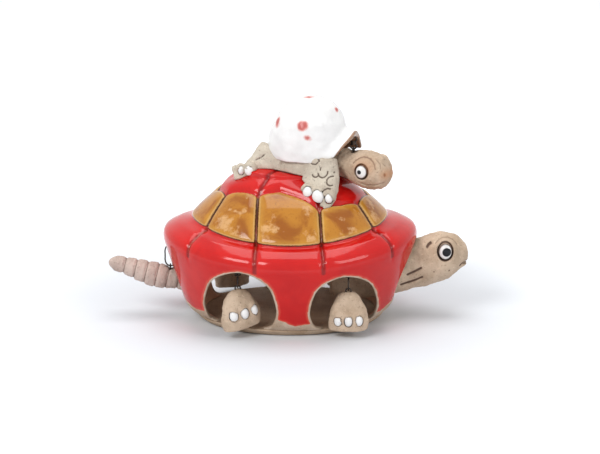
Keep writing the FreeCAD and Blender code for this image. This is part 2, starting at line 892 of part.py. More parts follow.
def front_leg(side):
    """A broad front leg, spread out and down."""
    rings = []
    for down, wide, deep, back in front_leg_ring_shares:
        height = body_top - front_leg_height * down
        y = side * (front_leg_root_y + front_leg_out * (1 - back))
        ahead = turned(wide * front_leg_width / 2, 0, young_turn)
        left = turned(0, deep * front_leg_depth / 2, young_turn)
        rings.append(oval(on_back(front_leg_x, y, height), ahead, left, 1, 1, clay_sides))
    return faceted(rings)


def hind_leg(side):
    """A hind leg with a high knee, stretched back."""
    rings = []
    for back, low, high, wide, out in hind_leg_ring_shares:
        x = hind_leg_root_x - back * hind_leg_length
        y = side * (hind_leg_root_y + out * hind_leg_out)
        height = body_low + (low + high) / 2 * hind_leg_height
        rings.append(oval(on_back(x, y, height), turned(0, 1, young_turn), Vector(0, 0, 1),
                          wide * hind_leg_width / 2, (high - low) / 2 * hind_leg_height, clay_sides))
    return faceted(rings)


def young_claws(x, y, height, direction, spacing, width, tall, grow):
    """Three claws in a row, or their sockets."""
    claws = []
    out = turned(math.cos(math.radians(direction)), math.sin(math.radians(direction)), young_turn)
    side = Vector(0, 0, 1).cross(out)
    for step in (-1, 0, 1):
        root = on_back(x, y, height) + side * (step * spacing) - out * young_claw_root
        claws.append(claw_shape(root, out, width, tall, young_claw_root + young_claw_proud, grow))
    return claws


def on_back_shape(shape):
    """A shape made in the young turtle's frame, put on the mother's crown."""
    shape.rotate(Vector(0, 0, 0), Vector(0, 0, 1), young_turn)
    shape.translate(Vector(young_x, young_y, 0))
    return shape


def hood_tube():
    """The hood, a tube over the neck whose mouth is cut to a slanted peak, still solid inside."""
    stop = Vector(hood_reach, 0, hood_axis_height)
    tube = round_bar(Vector(0, 0, hood_axis_height), stop, hood_radius, hood_radius, young_sides)
    slant = Part.makeBox(shell_length, shell_width, shell_width)
    slant.translate(Vector(0, -half_width, -shell_width))
    slant.rotate(Vector(0, 0, 0), Vector(0, 1, 0), hood_slope)
    slant.translate(Vector(hood_reach, 0, hood_axis_height + hood_radius))
    limit = Part.makeBox(half_length, shell_width, shell_width)
    limit.translate(Vector(mouth_of_body, -half_width, hood_axis_height + hood_radius / 3 - shell_width))
    return on_back_shape(carved(tube, [slant, limit]))


def pocket_cutters():
    """The room for the neck inside the young turtle, open ahead and down to the mother's crown."""
    radius = hood_radius - hood_wall
    start = mouth_of_body - pocket_depth
    reach = hood_reach + hood_wall - start
    inner = Vector(start, 0, hood_axis_height)
    bore = round_bar(inner, inner + Vector(reach, 0, 0), radius, radius, young_sides)
    lower = Part.makeBox(reach, 2 * radius, hood_axis_height - body_low)
    lower.translate(Vector(start, -radius, body_low))
    return [on_back_shape(bore), on_back_shape(lower)]


def young_loop_x():
    """How far ahead the wire loop hangs in the young turtle's frame."""
    return hood_reach - young_loop_inset


def hood_hole():
    """The hole in the hood that the wire loop passes down through."""
    x = young_loop_x() - young_loop_radius
    ahead = Vector(young_hole_radius, 0, 0)
    left = Vector(0, young_hole_radius, 0)
    low = Vector(x, 0, hood_axis_height)
    high = Vector(x, 0, hood_axis_height + 2 * hood_radius)
    return on_back_shape(faceted([oval(end, ahead, left, 1, 1, lug_hole_sides) for end in (low, high)]))


def upright_stack(low, height, shares, half_x, half_y, inset):
    """Flat ovals over the young turtle's middle, one above another, moved in by an inset."""
    rings = []
    for up, wide in shares:
        centre = on_back(0, 0, low + up * (height - inset))
        rings.append(oval(centre, turned(1, 0, young_turn), turned(0, 1, young_turn),
                          wide * (half_x - inset), wide * (half_y - inset), young_sides))
    return faceted(rings)


def between(shares, where, column):
    """A share from a table at a place between its rows."""
    for first, second in zip(shares, shares[1:]):
        if first[0] <= where <= second[0]:
            part = (where - first[0]) / (second[0] - first[0])
            return first[column] + (second[column] - first[column]) * part
    return shares[-1][column]


def young_claw_sets(grow):
    """Each leg's three claws, or their sockets, by name."""
    sets = {}
    down = 1 - front_claw_lift / front_leg_height
    out = front_leg_root_y + front_leg_out * (1 - between(front_leg_ring_shares, down, 3))
    out += between(front_leg_ring_shares, down, 2) * front_leg_depth / 2
    back = hind_leg_root_x - hind_claw_back_share * hind_leg_length
    hind_out = hind_leg_root_y + between(hind_leg_ring_shares, hind_claw_back_share, 4) * hind_leg_out
    hind_out += between(hind_leg_ring_shares, hind_claw_back_share, 3) * hind_leg_width / 2
    wide = hind_claw_width_share * young_claw_width
    tall = hind_claw_height_share * young_claw_height
    for name, side in (("left", 1), ("right", -1)):
        front_place = (front_leg_x, side * out, front_leg_low + front_claw_lift, side * 90)
        hind_place = (back, side * hind_out, body_low + hind_claw_lift, side * (90 + hind_claw_turn))
        front_sizes = (front_claw_spacing, young_claw_width, young_claw_height, grow)
        sets["front_" + name] = young_claws(*front_place, *front_sizes)
        sets["hind_" + name] = young_claws(*hind_place, hind_claw_spacing, wide, tall, grow)
    return sets


def young_body_pieces(form):
    """The young turtle's body, claws and shell, seated on the mother's shell."""
    shell = upright_stack(body_top, dome_height, dome_ring_shares, dome_radius, dome_radius, 0)
    room = upright_stack(body_top, dome_height, dome_ring_shares, dome_radius, dome_radius, dome_wall)
    body = upright_stack(body_low, body_top - body_low, body_ring_shares, body_length / 2, body_width / 2, 0)
    body = body.fuse([front_leg(1), front_leg(-1), hind_leg(1), hind_leg(-1)])
    tube = hood_tube()
    pocket = pocket_cutters()
    body = carved(body, [shell])
    body = carved(body.fuse(tube), pocket + [hood_hole(), form])
    for name, claws in young_claw_sets(0).items():
        save("young_claws_" + name, Part.makeCompound([carved(claw, [form]) for claw in claws]))
    for sockets in young_claw_sets(seat_gap).values():
        body = carved(body, sockets)
    save("young_body", body)
    save("young_shell", carved(shell, [room, tube] + pocket))


def young_head_pieces():
    """The young turtle's head and neck, its eyeballs, wire eye and loop."""
    along = turned(1, 0, young_turn)
    tip = on_back(young_head_tip, 0, 0)
    head = section_stack(tip, along, young_head_length, young_head_low, young_head_height, young_head_width,
                         young_head_ring_shares)
    eye_place = on_back(young_loop_x(), 0, 0)
    print("young head leans by", round((head.CenterOfMass - eye_place).dot(along), 3))
    where = young_eyeball_from_tip / young_head_length
    reach = oval_reach(young_head_ring_shares, where, young_eyeball_height_share) * young_head_width
    height = young_head_low + young_eyeball_height_share * young_head_height
    sizes = (young_eyeball_width, young_eyeball_width, young_eyeball_depth, young_eyeball_proud)
    for name, side in (("left", 1), ("right", -1)):
        centre = on_back(young_head_tip - young_eyeball_from_tip, side * reach, height)
        out = turned(0, side, young_turn)
        save("young_eyeball_" + name, eyeball_shape(centre, out, *sizes, 0))
        head = carved(head, [eyeball_shape(centre, out, *sizes, seat_gap)])
    mouth = Part.makeBox(young_mouth_length + overrun, young_head_width, mouth_gape)
    mouth_height = young_head_low + young_mouth_height_share * young_head_height
    mouth.translate(Vector(young_head_tip - young_mouth_length, -young_head_width / 2, mouth_height))
    head = carved(head, [on_back_shape(mouth)])
    across = turned(0, 1, young_turn)
    head, eye, foot = seat_eye(head, eye_place.x, eye_place.y, across)
    low = loop_low(foot)
    top = on_back(young_loop_x(), 0, hood_axis_height + hood_radius + wire_radius + young_loop_lift)
    save("young_head", head)
    save("eye_young_head", eye)
    save("loop_young_head", oval_loop_piece(top, low, along, young_loop_radius))
    show_pivot("loop_young_head", top)
    show_pivot("young_head", low + Vector(0, 0, young_loop_radius))


os.makedirs("parts", exist_ok=True)
outside = shell_form(shell_row_steps, shell_sides, 0)
inside = shell_form(1, cavity_sides, shell_wall)
save("shell", shell_piece(outside, inside))
save("slab", slab_piece())
front_foot_x = front_opening_x + front_foot_ahead
front_foot_y = front_foot_out_share * half_width
rear_foot_y = rear_foot_out_share * half_width
hung_foot("front_right", 0, 0, Vector(front_foot_x, -front_foot_y, front_foot_lift), inside)
hung_foot("front_left", 180, 0, Vector(front_foot_x, front_foot_y, front_foot_lift), inside)
hung_foot("rear_right", rear_right_foot_turn, rear_right_foot_tilt,
          Vector(rear_opening_x, -rear_foot_y, rear_right_foot_lift), inside)
hung_foot("rear_left", 180 + rear_left_foot_turn, 0,
          Vector(rear_opening_x - rear_left_foot_behind, rear_foot_y, rear_left_foot_lift), inside)
mother_head(inside)
tail_pieces()
young_body_pieces(outside)
young_head_pieces()
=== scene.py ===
import json
import math

import bpy
import numpy as np
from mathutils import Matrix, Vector


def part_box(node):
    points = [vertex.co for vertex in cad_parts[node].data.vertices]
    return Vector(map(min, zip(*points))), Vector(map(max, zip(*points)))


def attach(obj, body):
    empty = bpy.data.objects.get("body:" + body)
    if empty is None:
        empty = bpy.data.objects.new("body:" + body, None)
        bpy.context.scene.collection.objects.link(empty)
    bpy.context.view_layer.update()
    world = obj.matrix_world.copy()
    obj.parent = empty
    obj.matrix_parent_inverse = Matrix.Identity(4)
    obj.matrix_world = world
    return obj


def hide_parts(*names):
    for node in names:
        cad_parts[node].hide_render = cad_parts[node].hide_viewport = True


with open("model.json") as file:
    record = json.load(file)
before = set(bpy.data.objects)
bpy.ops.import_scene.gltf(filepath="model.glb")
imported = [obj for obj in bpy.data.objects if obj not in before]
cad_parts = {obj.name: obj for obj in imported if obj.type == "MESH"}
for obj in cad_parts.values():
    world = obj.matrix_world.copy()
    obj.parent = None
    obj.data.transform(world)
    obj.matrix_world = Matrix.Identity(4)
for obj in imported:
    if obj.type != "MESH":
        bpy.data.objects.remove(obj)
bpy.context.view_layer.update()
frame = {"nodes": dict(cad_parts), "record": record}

# Turtle figurine of hand-built clay with a young turtle on its back.
# Forms are worked out in millimetres in the model's own frame and made into meshes in metres.
MM = 0.001

# The photograph's camera
CAMERA_ELEVATION = 14.5
CAMERA_DISTANCE = 0.9
CAMERA_TARGET = (0.0045, 0.0, 0.0407)
CAMERA_LENS = 120.0

# Soft boxes: place, width and height in metres, and power
LIGHTS = {
    "key": ((-0.55, -0.75, 0.75), (0.55, 0.35), 6.5),
    "fill": ((0.75, -0.65, 0.50), (0.45, 0.35), 2.5),
    "top": ((0.0, 0.15, 1.1), (0.8, 0.8), 6.0),
}
LIT_PLACE = (0, 0, 0.04)

# Floor: half its side and its drop in metres, and the ring in millimetres over which it grows whiter
FLOOR_HALF = 9
FLOOR_DROP = 0.0001
FLOOR_GLOW = (60.0, 210.0)

# Sides of the model and the sign of Y on each
SIDES = (("left", 1), ("right", -1))

# Layers of a grid that are worked out at a time, and the number of waves in an uneven swell
GRID_SLICE = 24
RIPPLE_WAVES = 9

# Mother's shell
SHELL_LENGTH = 114.0
SHELL_WIDTH = 94.4
SHELL_HEIGHT = 66.5
SHELL_WALL = 2.8
SLAB_TOP = 3.0
HALF_LENGTH = SHELL_LENGTH / 2
HALF_WIDTH = SHELL_WIDTH / 2
SHELL_RISE = SHELL_HEIGHT - SLAB_TOP

# Rings of the shell from the slab up: shares of the half length, the half width, the rise,
# and the share of the rise by which the ring lies lower at the sides than at the ends
SHELL_RINGS = (
    (0.747, 0.754, 0.0, 0.0),
    (0.816, 0.816, 0.060, 0.008),
    (0.868, 0.869, 0.173, 0.024),
    (0.933, 0.932, 0.346, 0.055),
    (0.979, 0.981, 0.480, 0.079),
    (1.0, 1.0, 0.559, 0.091),
    (0.975, 0.975, 0.619, 0.091),
    (0.886, 0.900, 0.665, 0.087),
    (0.786, 0.837, 0.696, 0.087),
    (0.675, 0.731, 0.783, 0.063),
    (0.553, 0.604, 0.874, 0.039),
    (0.456, 0.487, 0.929, 0.024),
    (0.246, 0.265, 1.0, 0.0),
)

# Grooves between the plates, on both flanks, each from a high to a low place in plan
GROOVES = (
    ((-0.493, -0.248), (-0.775, -0.622)),
    ((-0.243, -0.425), (-0.252, -0.961)),
    ((0.225, -0.50), (0.246, -0.961)),
    ((0.521, -0.314), (0.784, -0.618)),
)
GROOVE_FOOT = 34.5
GROOVE_OVERRUN = 1.06

# Plan of the red top, on one flank from the rear to the front, mirrored to the other
RED_TOP = (
    (-0.56, 0.0),
    (-0.493, -0.248),
    (-0.243, -0.425),
    (-0.075, -0.413),
    (0.216, -0.560),
    (0.387, -0.449),
    (0.521, -0.314),
    (0.60, 0.0),
)
AMBER_FOOT = 47.4
RED_TOP_RISE = 1.2
RED_TOP_FRONT = 13.0

# Swells under the young turtle on both flanks, kept clear of its neck
SWELL_PLACE = (-9.0, 8.5)
SWELL_SPREAD = (15.0, 7.0)
SWELL_RISE = 1.9
SWELL_FOOT = 56.0
NECK_START = -11.0
NECK_HALF_WIDTH = 11.5

# Creases of the red top, seen beside the young turtle
TOP_CREASES = (
    ((-0.243, -0.425), (-0.10, -0.20)),
    ((0.216, -0.560), (0.18, -0.20)),
)

# Lower edge of the red glaze, as heights round one flank from the rear to the front
GLAZE_FOOT = (
    (-1.0, 12.5),
    (-0.97, 9.6),
    (-0.89, 7.6),
    (-0.76, 8.4),
    (-0.45, 9.0),
    (-0.12, 9.4),
    (0.05, 5.8),
    (0.19, 6.9),
    (0.45, 7.3),
    (0.74, 7.3),
    (0.86, 7.5),
    (0.97, 10.5),
    (1.0, 13.0),
)

# Holes in the shell's ends: middle height, half width and half height, then how far out they begin
NECK_HOLE = (22.5, 14.7, 15.4)
TAIL_HOLE = (17.2, 8.3, 9.6)
END_HOLES_START = 28

# Hole for the tail's wire: height and radius
TAIL_WIRE_HOLE = (32.5, 1.35)

# Leg openings: height of the sill over the slab, then middle, width and height of each
SILL_HEIGHT = 0.2
OPENINGS = (
    (-21.6, 31.0, 28.0),
    (23.6, 29.0, 25.8),
)
OPENING_OUTLINE = (
    (0.0, 0.0),
    (0.38, 0.02),
    (0.49, 0.20),
    (0.5, 0.45),
    (0.37, 0.82),
    (0.0, 1.0),
)

# Each foot: place of its sole, turn about the upright, tilt, height of its claws and share of the width
FEET = {
    "front_right": (25.6, -35.2, 3.3, 0.0, 0.0, 5.3, 1.0),
    "front_left": (25.6, 35.2, 3.3, 180.0, 0.0, 5.0, 1.0),
    "rear_right": (-20.6, -34.6, 4.5, 30.0, 9.0, 7.4, 1.09),
    "rear_left": (-27.5, 34.6, 3.3, 208.0, 0.0, 6.0, 1.0),
}
FOOT_WIDTH = 17.4
FOOT_DEPTH = 8.8
FOOT_HEIGHT = 17.4

# Rings of a foot from its sole up: shares of height, width and depth, and how far out the middle lies
FOOT_RINGS = (
    (0.0, 0.90, 0.88, 0.0),
    (0.07, 0.98, 0.98, 0.0),
    (0.28, 1.0, 1.0, 0.03),
    (0.50, 0.92, 0.96, 0.0),
    (0.72, 0.74, 0.84, -0.06),
    (0.90, 0.50, 0.64, -0.10),
    (1.0, 0.24, 0.34, -0.10),
)
CLAW_SPACING = 4.7
CLAW_FAN = 22.0
CLAW_RADII = (1.75, 1.9, 2.6)
CLAW_SINK = 0.55

# Toe round a claw, measured from the claw's root, and the dent over the middle toe
TOE_MIDDLE = (0, 1.4, 0.3)
TOE_SIZE = (2.5, 2.5, 3.7)
DENT_SIZE = (2.2, 1.3, 0.9)
DENT_RISE = 4.4

# Room for a foot's grid to each side, below its sole and above it
FOOT_GRID = (13, 3.5, 22)

# Mother's head and neck, measured back from the tip of the beak
HEAD_TIP = 80.1
HEAD_LENGTH = 62.0
HEAD_FLOOR = 8.0
HEAD_HEIGHT = 30.4
HEAD_WIDTH = 22.4

# Rings of a head: how far back from the tip, lower edge, upper edge and width, as shares
HEAD_RINGS = (
    (0.0, 0.56, 0.74, 0.16),
    (0.012, 0.50, 0.82, 0.36),
    (0.045, 0.46, 0.89, 0.58),
    (0.095, 0.36, 0.96, 0.76),
    (0.17, 0.27, 1.0, 0.94),
    (0.25, 0.22, 0.98, 0.98),
    (0.33, 0.18, 0.93, 0.93),
    (0.42, 0.13, 0.88, 0.96),
    (0.56, 0.06, 0.82, 1.0),
    (0.74, 0.0, 0.76, 1.0),
    (0.92, 0.0, 0.68, 0.94),
    (1.0, 0.08, 0.56, 0.66),
)

# Tail
TAIL_TIP = (-82.0, 0.0, 24.8)
TAIL_LENGTH = 46.2
TAIL_SLOPE = 14.0
TAIL_TIP_RADIUS = 2.2
TAIL_ROOT_RADIUS = 5.2
TAIL_RING_LENGTH = 5.0
TAIL_ROUND_END = 3.4

# Pockets in which wire eyes stand: radius, then the place along X and the floor's height in each head,
# and in the tail the place along X and the floor's rise over the axis
WIRE_POCKET_RADIUS = 1.9
HEAD_POCKET = (47.66, 31.5)
YOUNG_POCKET = (20.1, 74.0)
TAIL_POCKET_X = -54.1
TAIL_POCKET_RISE = 1.5

# Young turtle, in its own frame
YOUNG_PLACE = (9.0, -1.0)
YOUNG_TURN = -18.0
YOUNG_BODY_MIDDLE = (0.0, 0.0, 68.0)
YOUNG_BODY_SIZE = (18.0, 15.0, 12.0)
BODY_LOW = 56.0
BODY_TOP = 76.0
DOME_RADIUS = 16.4
DOME_HEIGHT = 25.2
DOME_WALL = 2.4
DOME_APRON = 2.6
DOME_BACK = 1.7
DOME_ROOM_RADIUS = 13.2

# Rings of the young shell: shares of the height and the radius
DOME_RINGS = (
    (0.0, 0.955),
    (0.16, 0.99),
    (0.36, 1.0),
    (0.56, 0.94),
    (0.74, 0.80),
    (0.88, 0.59),
    (0.97, 0.32),
    (1.0, 0.10),
)
HOOD_RADIUS = 11.8
HOOD_WALL = 2.6
HOOD_HEIGHT = 74.5
HOOD_REACH = 21.0
HOOD_SLOPE = 33.0
POCKET_START = -5.0

# Legs: sizes, and their place to the side near the body and how much farther out they reach
FRONT_LEG_LENGTH = 21.0
FRONT_LEG_AHEAD = 8.2
FRONT_LEG_ASIDE = (10.0, 9.8)
FRONT_LEG_HALF = (8.8, 5.5)
HIND_LEG_LENGTH = 20.5
HIND_LEG_HEIGHT = 24.4
HIND_LEG_ASIDE = (8.5, 5.4)
HIND_LEG_HALF = 5.3

# Rings of a front leg: how far down, width, thickness and how near the body, as shares
FRONT_LEG_RINGS = (
    (0.0, 0.86, 0.80, 1.0),
    (0.26, 0.92, 0.92, 0.96),
    (0.50, 1.0, 1.0, 0.78),
    (0.78, 1.0, 1.0, 0.40),
    (1.0, 0.88, 0.74, 0.0),
)

# Rings of a hind leg: how far back, lower edge, upper edge, width and how far out, as shares
HIND_LEG_RINGS = (
    (0.0, 0.0, 0.84, 1.0, 0.0),
    (0.26, 0.0, 0.93, 1.0, 0.05),
    (0.46, 0.0, 1.0, 0.96, 0.15),
    (0.66, 0.06, 0.76, 0.96, 0.50),
    (0.86, 0.18, 0.58, 0.90, 0.86),
    (1.0, 0.28, 0.48, 0.64, 1.0),
)
YOUNG_HEAD_TIP = 37.2
YOUNG_HEAD_LENGTH = 41.0
YOUNG_HEAD_LOW = 60.8
YOUNG_HEAD_HEIGHT = 17.0
YOUNG_HEAD_WIDTH = 17.0
YOUNG_HEAD_RINGS = (
    (0.0, 0.28, 0.66, 0.38),
    (0.03, 0.14, 0.80, 0.66),
    (0.09, 0.04, 0.90, 0.86),
    (0.22, 0.0, 0.98, 1.0),
    (0.34, 0.05, 0.98, 0.98),
    (0.45, 0.20, 0.98, 0.84),
    (0.52, 0.30, 1.0, 0.76),
    (0.75, 0.38, 1.0, 0.76),
    (0.96, 0.48, 1.0, 0.74),
    (1.0, 0.56, 0.92, 0.58),
)


# Tools for forms given as distances, in millimetres, negative inside

def smooth_join(first, second, blend):
    """The nearer of two distances, with a fillet of about the blend's size."""
    share = np.clip(0.5 + 0.5 * (second - first) / blend, 0.0, 1.0)
    return second + (first - second) * share - blend * share * (1.0 - share)


def smooth_meet(first, second, blend):
    """The farther of two distances, with a rounded edge."""
    return -smooth_join(-first, -second, blend)


def smooth_cut(solid, cutter, blend):
    """A solid without the cutter, with a rounded edge."""
    return smooth_meet(solid, -cutter, blend)


def rotated(u, v, degrees):
    """Points of a plane in a frame that is turned by some degrees."""
    angle = math.radians(degrees)
    return u * math.cos(angle) + v * math.sin(angle), v * math.cos(angle) - u * math.sin(angle)


def turned(place, centre, degrees):
    """Points in a frame at a centre that is turned about the upright."""
    ahead, left = rotated(place[0] - centre[0], place[1] - centre[1], degrees)
    return ahead, left, place[2] - centre[2]


def tilted(place, degrees):
    """Points in a frame whose X axis is raised by some degrees."""
    ahead, up = rotated(place[0], place[2], degrees)
    return ahead, place[1], up


def egg(place, centre, radii):
    """Distance to an egg-like form with three half sizes."""
    parts = [(place[axis] - centre[axis]) / radii[axis] for axis in range(3)]
    ratio = np.sqrt(sum(part * part for part in parts))
    steep = np.sqrt(sum((part / radii[axis]) ** 2 for axis, part in enumerate(parts))) + 1e-9
    return ratio * (ratio - 1.0) / steep


def smooth_rows(rows, steps=10):
    """Rows of a table with smooth rows worked out between them."""
    given = np.array(rows, float)
    last = len(given) - 1
    dense = []
    for index in range(last):
        before, start = given[max(index - 1, 0)], given[index]
        stop, after = given[index + 1], given[min(index + 2, last)]
        for step in range(steps):
            part = step / steps
            square = part * part
            cube = square * part
            value = start * (2 * cube - 3 * square + 1) + (stop - before) * 0.5 * (cube - 2 * square + part)
            dense.append(value + stop * (3 * square - 2 * cube) + (after - start) * 0.5 * (cube - square))
    dense.append(given[last])
    return np.array(dense)


def smooth_ring(points, steps):
    """A smooth closed line through points."""
    wrapped = [points[-1], *points, *points[:2]]
    return smooth_rows(wrapped, steps)[steps:steps * (len(points) + 1)]


def both_halves(half, share=1.0):
    """A closed outline from its right half, with the left half as wide as a share of it."""
    return [*half, *[(-share * across, up) for across, up in half[-2:0:-1]]]


def stack(along, side, top, rows, lean=0.85):
    """Distance to a form of oval sections.

    Its rows say how far along, the middle to the side and upward, and the half sizes.
    """
    table = smooth_rows(rows)
    columns = [np.interp(along, table[:, 0], table[:, column]) for column in range(1, 5)]
    across = (side - columns[0]) / columns[2]
    up = (top - columns[1]) / columns[3]
    ratio = np.sqrt(across ** 2 + up ** 2)
    steep = np.sqrt((across / columns[2]) ** 2 + (up / columns[3]) ** 2) + 1e-9
    skin = ratio * (ratio - 1.0) / steep * lean
    ends = np.maximum(table[0, 0] - along, along - table[-1, 0])
    return smooth_meet(skin, ends, 0.8)


def ripple(place, size, seed):
    """A gentle uneven swell, between about minus one and one, of a given size of hand mark."""
    waves = np.random.default_rng(seed)
    total = 0.0
    for _ in range(RIPPLE_WAVES):
        way = waves.normal(size=3)
        way *= 2 * math.pi / (size * waves.uniform(0.7, 1.6) * np.linalg.norm(way))
        across = sum(way[axis] * place[axis] for axis in range(3))
        total = total + np.sin(across + waves.uniform(0, 2 * math.pi))
    return total / math.sqrt(RIPPLE_WAVES)


def line_gap(u, v, points):
    """Distance in a plane to a line through points."""
    gap = np.full(np.shape(u), 1e3)
    for start, stop in zip(points, points[1:]):
        run = np.array(stop, float) - np.array(start, float)
        share = ((u - start[0]) * run[0] + (v - start[1]) * run[1]) / (run @ run)
        share = np.clip(share, 0.0, 1.0)
        gap = np.minimum(gap, np.hypot(u - start[0] - run[0] * share, v - start[1] - run[1] * share))
    return gap


def lines_gap(u, v, lines):
    """Distance in a plane to the nearest of several lines."""
    return np.minimum.reduce([line_gap(u, v, line) for line in lines])


def area_gap(u, v, points):
    """Distance in a plane to a closed outline, negative inside it."""
    closed = list(points) + [points[0]]
    inside = np.zeros(np.shape(u), bool)
    for (first_u, first_v), (second_u, second_v) in zip(closed, closed[1:]):
        crosses = (first_v > v) != (second_v > v)
        height = second_v - first_v if second_v != first_v else 1e-9
        inside ^= crosses & (u < (second_u - first_u) * (v - first_v) / height + first_u)
    return np.where(inside, -1.0, 1.0) * line_gap(u, v, closed)


def arc(centre, radius, start, stop, steps=8, squash=1.0):
    """Points on an arc in a plane, in degrees, squashed in height by a share."""
    turns = [math.radians(start + (stop - start) * step / steps) for step in range(steps + 1)]
    return [(centre[0] + radius * math.cos(turn), centre[1] + radius * squash * math.sin(turn))
            for turn in turns]


def score(gap, width):
    """How deep a scored line is at a distance from its middle, from 0 to 1."""
    return np.exp(-(gap / width) ** 2)


def above(value, middle, reach):
    """0 well below a middle and 1 well above it, or the other way round with a negative reach."""
    return 1 / (1 + np.exp((middle - value) / reach))


def grown(sizes, extra):
    """Sizes that are each larger by the same length."""
    return tuple(size + extra for size in sizes)


def with_lumps(solid, place, lumps):
    """A solid with egg-like lumps joined on, each a centre, half sizes and a fillet."""
    for centre, radii, blend in lumps:
        solid = smooth_join(solid, egg(place, centre, radii), blend)
    return solid


def wire_pocket(place, x, floor):
    """The round pocket, open above, in which a wire eye stands."""
    return np.maximum(np.hypot(place[0] - x, place[1]) - WIRE_POCKET_RADIUS, floor - place[2])


def claw_gap(place, claws, grow=0.0, sink=0.0):
    """Distance to the nearest of several claws, each a root, a turn and half sizes, sunk in by a length."""
    return np.minimum.reduce([egg(turned(place, root, fan), (0, sink, 0), grown(radii, grow))
                              for root, fan, radii in claws])


def eye_ratio(x, z, eye, size):
    """How far out a point is from an eye's middle, seen from the side, as a share of its half sizes."""
    return np.hypot((x - eye[0]) / size[0], (z - eye[2]) / size[2])


# Meshes from distances

def skin_mesh(field, low, high, step):
    """Points and faces of the surface where a field is zero, one point in each cell that it crosses."""
    axes = [np.arange(low[axis], high[axis] + step, step) for axis in range(3)]
    slabs = [field(np.meshgrid(axes[0][start:start + GRID_SLICE], axes[1], axes[2], indexing="ij"))
             for start in range(0, len(axes[0]), GRID_SLICE)]
    values = np.concatenate(slabs)
    shape = values.shape
    places, cells, faces = [], [], []
    for axis in range(3):
        first = np.moveaxis(values, axis, 0)[:-1]
        second = np.moveaxis(values, axis, 0)[1:]
        hits = np.argwhere(np.moveaxis((first < 0) != (second < 0), 0, axis))
        near = values[tuple(hits.T)]
        shifted = hits.copy()
        shifted[:, axis] += 1
        far = values[tuple(shifted.T)]
        place = hits.astype(float)
        place[:, axis] += near / (near - far)
        around = []
        for one, two in ((1, 1), (0, 1), (0, 0), (1, 0)):
            cell = hits.copy()
            cell[:, (axis + 1) % 3] -= one
            cell[:, (axis + 2) % 3] -= two
            around.append(np.ravel_multi_index(tuple(cell.T), shape))
            places.append(place)
        cells += around
        quads = np.stack(around, 1)
        quads[near > 0] = quads[near > 0][:, ::-1]
        faces.append(quads)
    ids, back = np.unique(np.concatenate(cells), return_inverse=True)
    places = np.concatenate(places)
    count = np.bincount(back)
    points = np.stack([np.bincount(back, places[:, axis]) / count for axis in range(3)], 1)
    faces = np.searchsorted(ids, np.concatenate(faces))
    points = np.array([axes[axis][0] for axis in range(3)]) + points * step
    return pulled_on(points, field, step), faces


def pulled_on(points, field, step):
    """Points moved onto the surface along the field's slope."""
    reach = step * 0.2
    for _ in range(2):
        value = field(tuple(points.T))
        slope = np.stack([(field(tuple((points + way).T)) - field(tuple((points - way).T))) / (2 * reach)
                          for way in np.eye(3) * reach], 1)
        move = slope * (value / (np.sum(slope * slope, 1) + 1e-6))[:, None]
        length = np.linalg.norm(move, axis=1, keepdims=True)
        points = points - move * np.minimum(1.0, 0.6 * step / (length + 1e-9))
    return points


def mesh_object(name, points, faces):
    """An object in the scene from points in millimetres."""
    mesh = bpy.data.meshes.new(name)
    mesh.from_pydata((np.asarray(points) * MM).tolist(), [], [list(map(int, face)) for face in faces])
    mesh.polygons.foreach_set("use_smooth", np.ones(len(mesh.polygons), bool))
    mesh.update()
    piece = bpy.data.objects.new(name, mesh)
    bpy.context.scene.collection.objects.link(piece)
    return piece


def places_of(piece):
    """A piece's points in millimetres."""
    places = np.empty(len(piece.data.vertices) * 3)
    piece.data.vertices.foreach_get("co", places)
    return tuple(places.reshape(-1, 3).T / MM)


def painted(piece, marks):
    """Writes named values onto each point of a piece for its material."""
    for name, values in marks(places_of(piece)).items():
        layer = piece.data.attributes.new(name, "FLOAT", "POINT")
        layer.data.foreach_set("value", np.ascontiguousarray(values, np.float32))


def marks_of(rest, **sources):
    """A function that gives named marks at a place, each its resting value where it has no source."""
    def marks(place):
        plain = np.full(np.shape(place[0]), rest)
        return {name: source(place) if source else plain for name, source in sources.items()}
    return marks


def clay_marks(ink=None, blush=None):
    """Marks for unglazed clay, from functions of the place, for the painted shade in its lines and hollows
    and for its tint and painted shade.
    """
    return marks_of(0.0, ink=ink, blush=blush)


def white_marks(spot=None, clay=None):
    """Marks for white glaze, from functions of the place."""
    return marks_of(-5.0, spot=spot, clay=clay)


def form(name, field, low, high, step, material, body, node_name, marks):
    """A piece of clay made from a field of distances."""
    piece = mesh_object(name, *skin_mesh(field, low, high, step))
    painted(piece, marks)
    dressed(piece, material, body, node_name)


def dressed(piece, material, body, node_name):
    """Gives a piece its material and its body, and hides the CAD node that it stands for."""
    piece.data.materials.clear()
    piece.data.materials.append(material)
    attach(piece, body)
    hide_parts(node_name)


# Materials

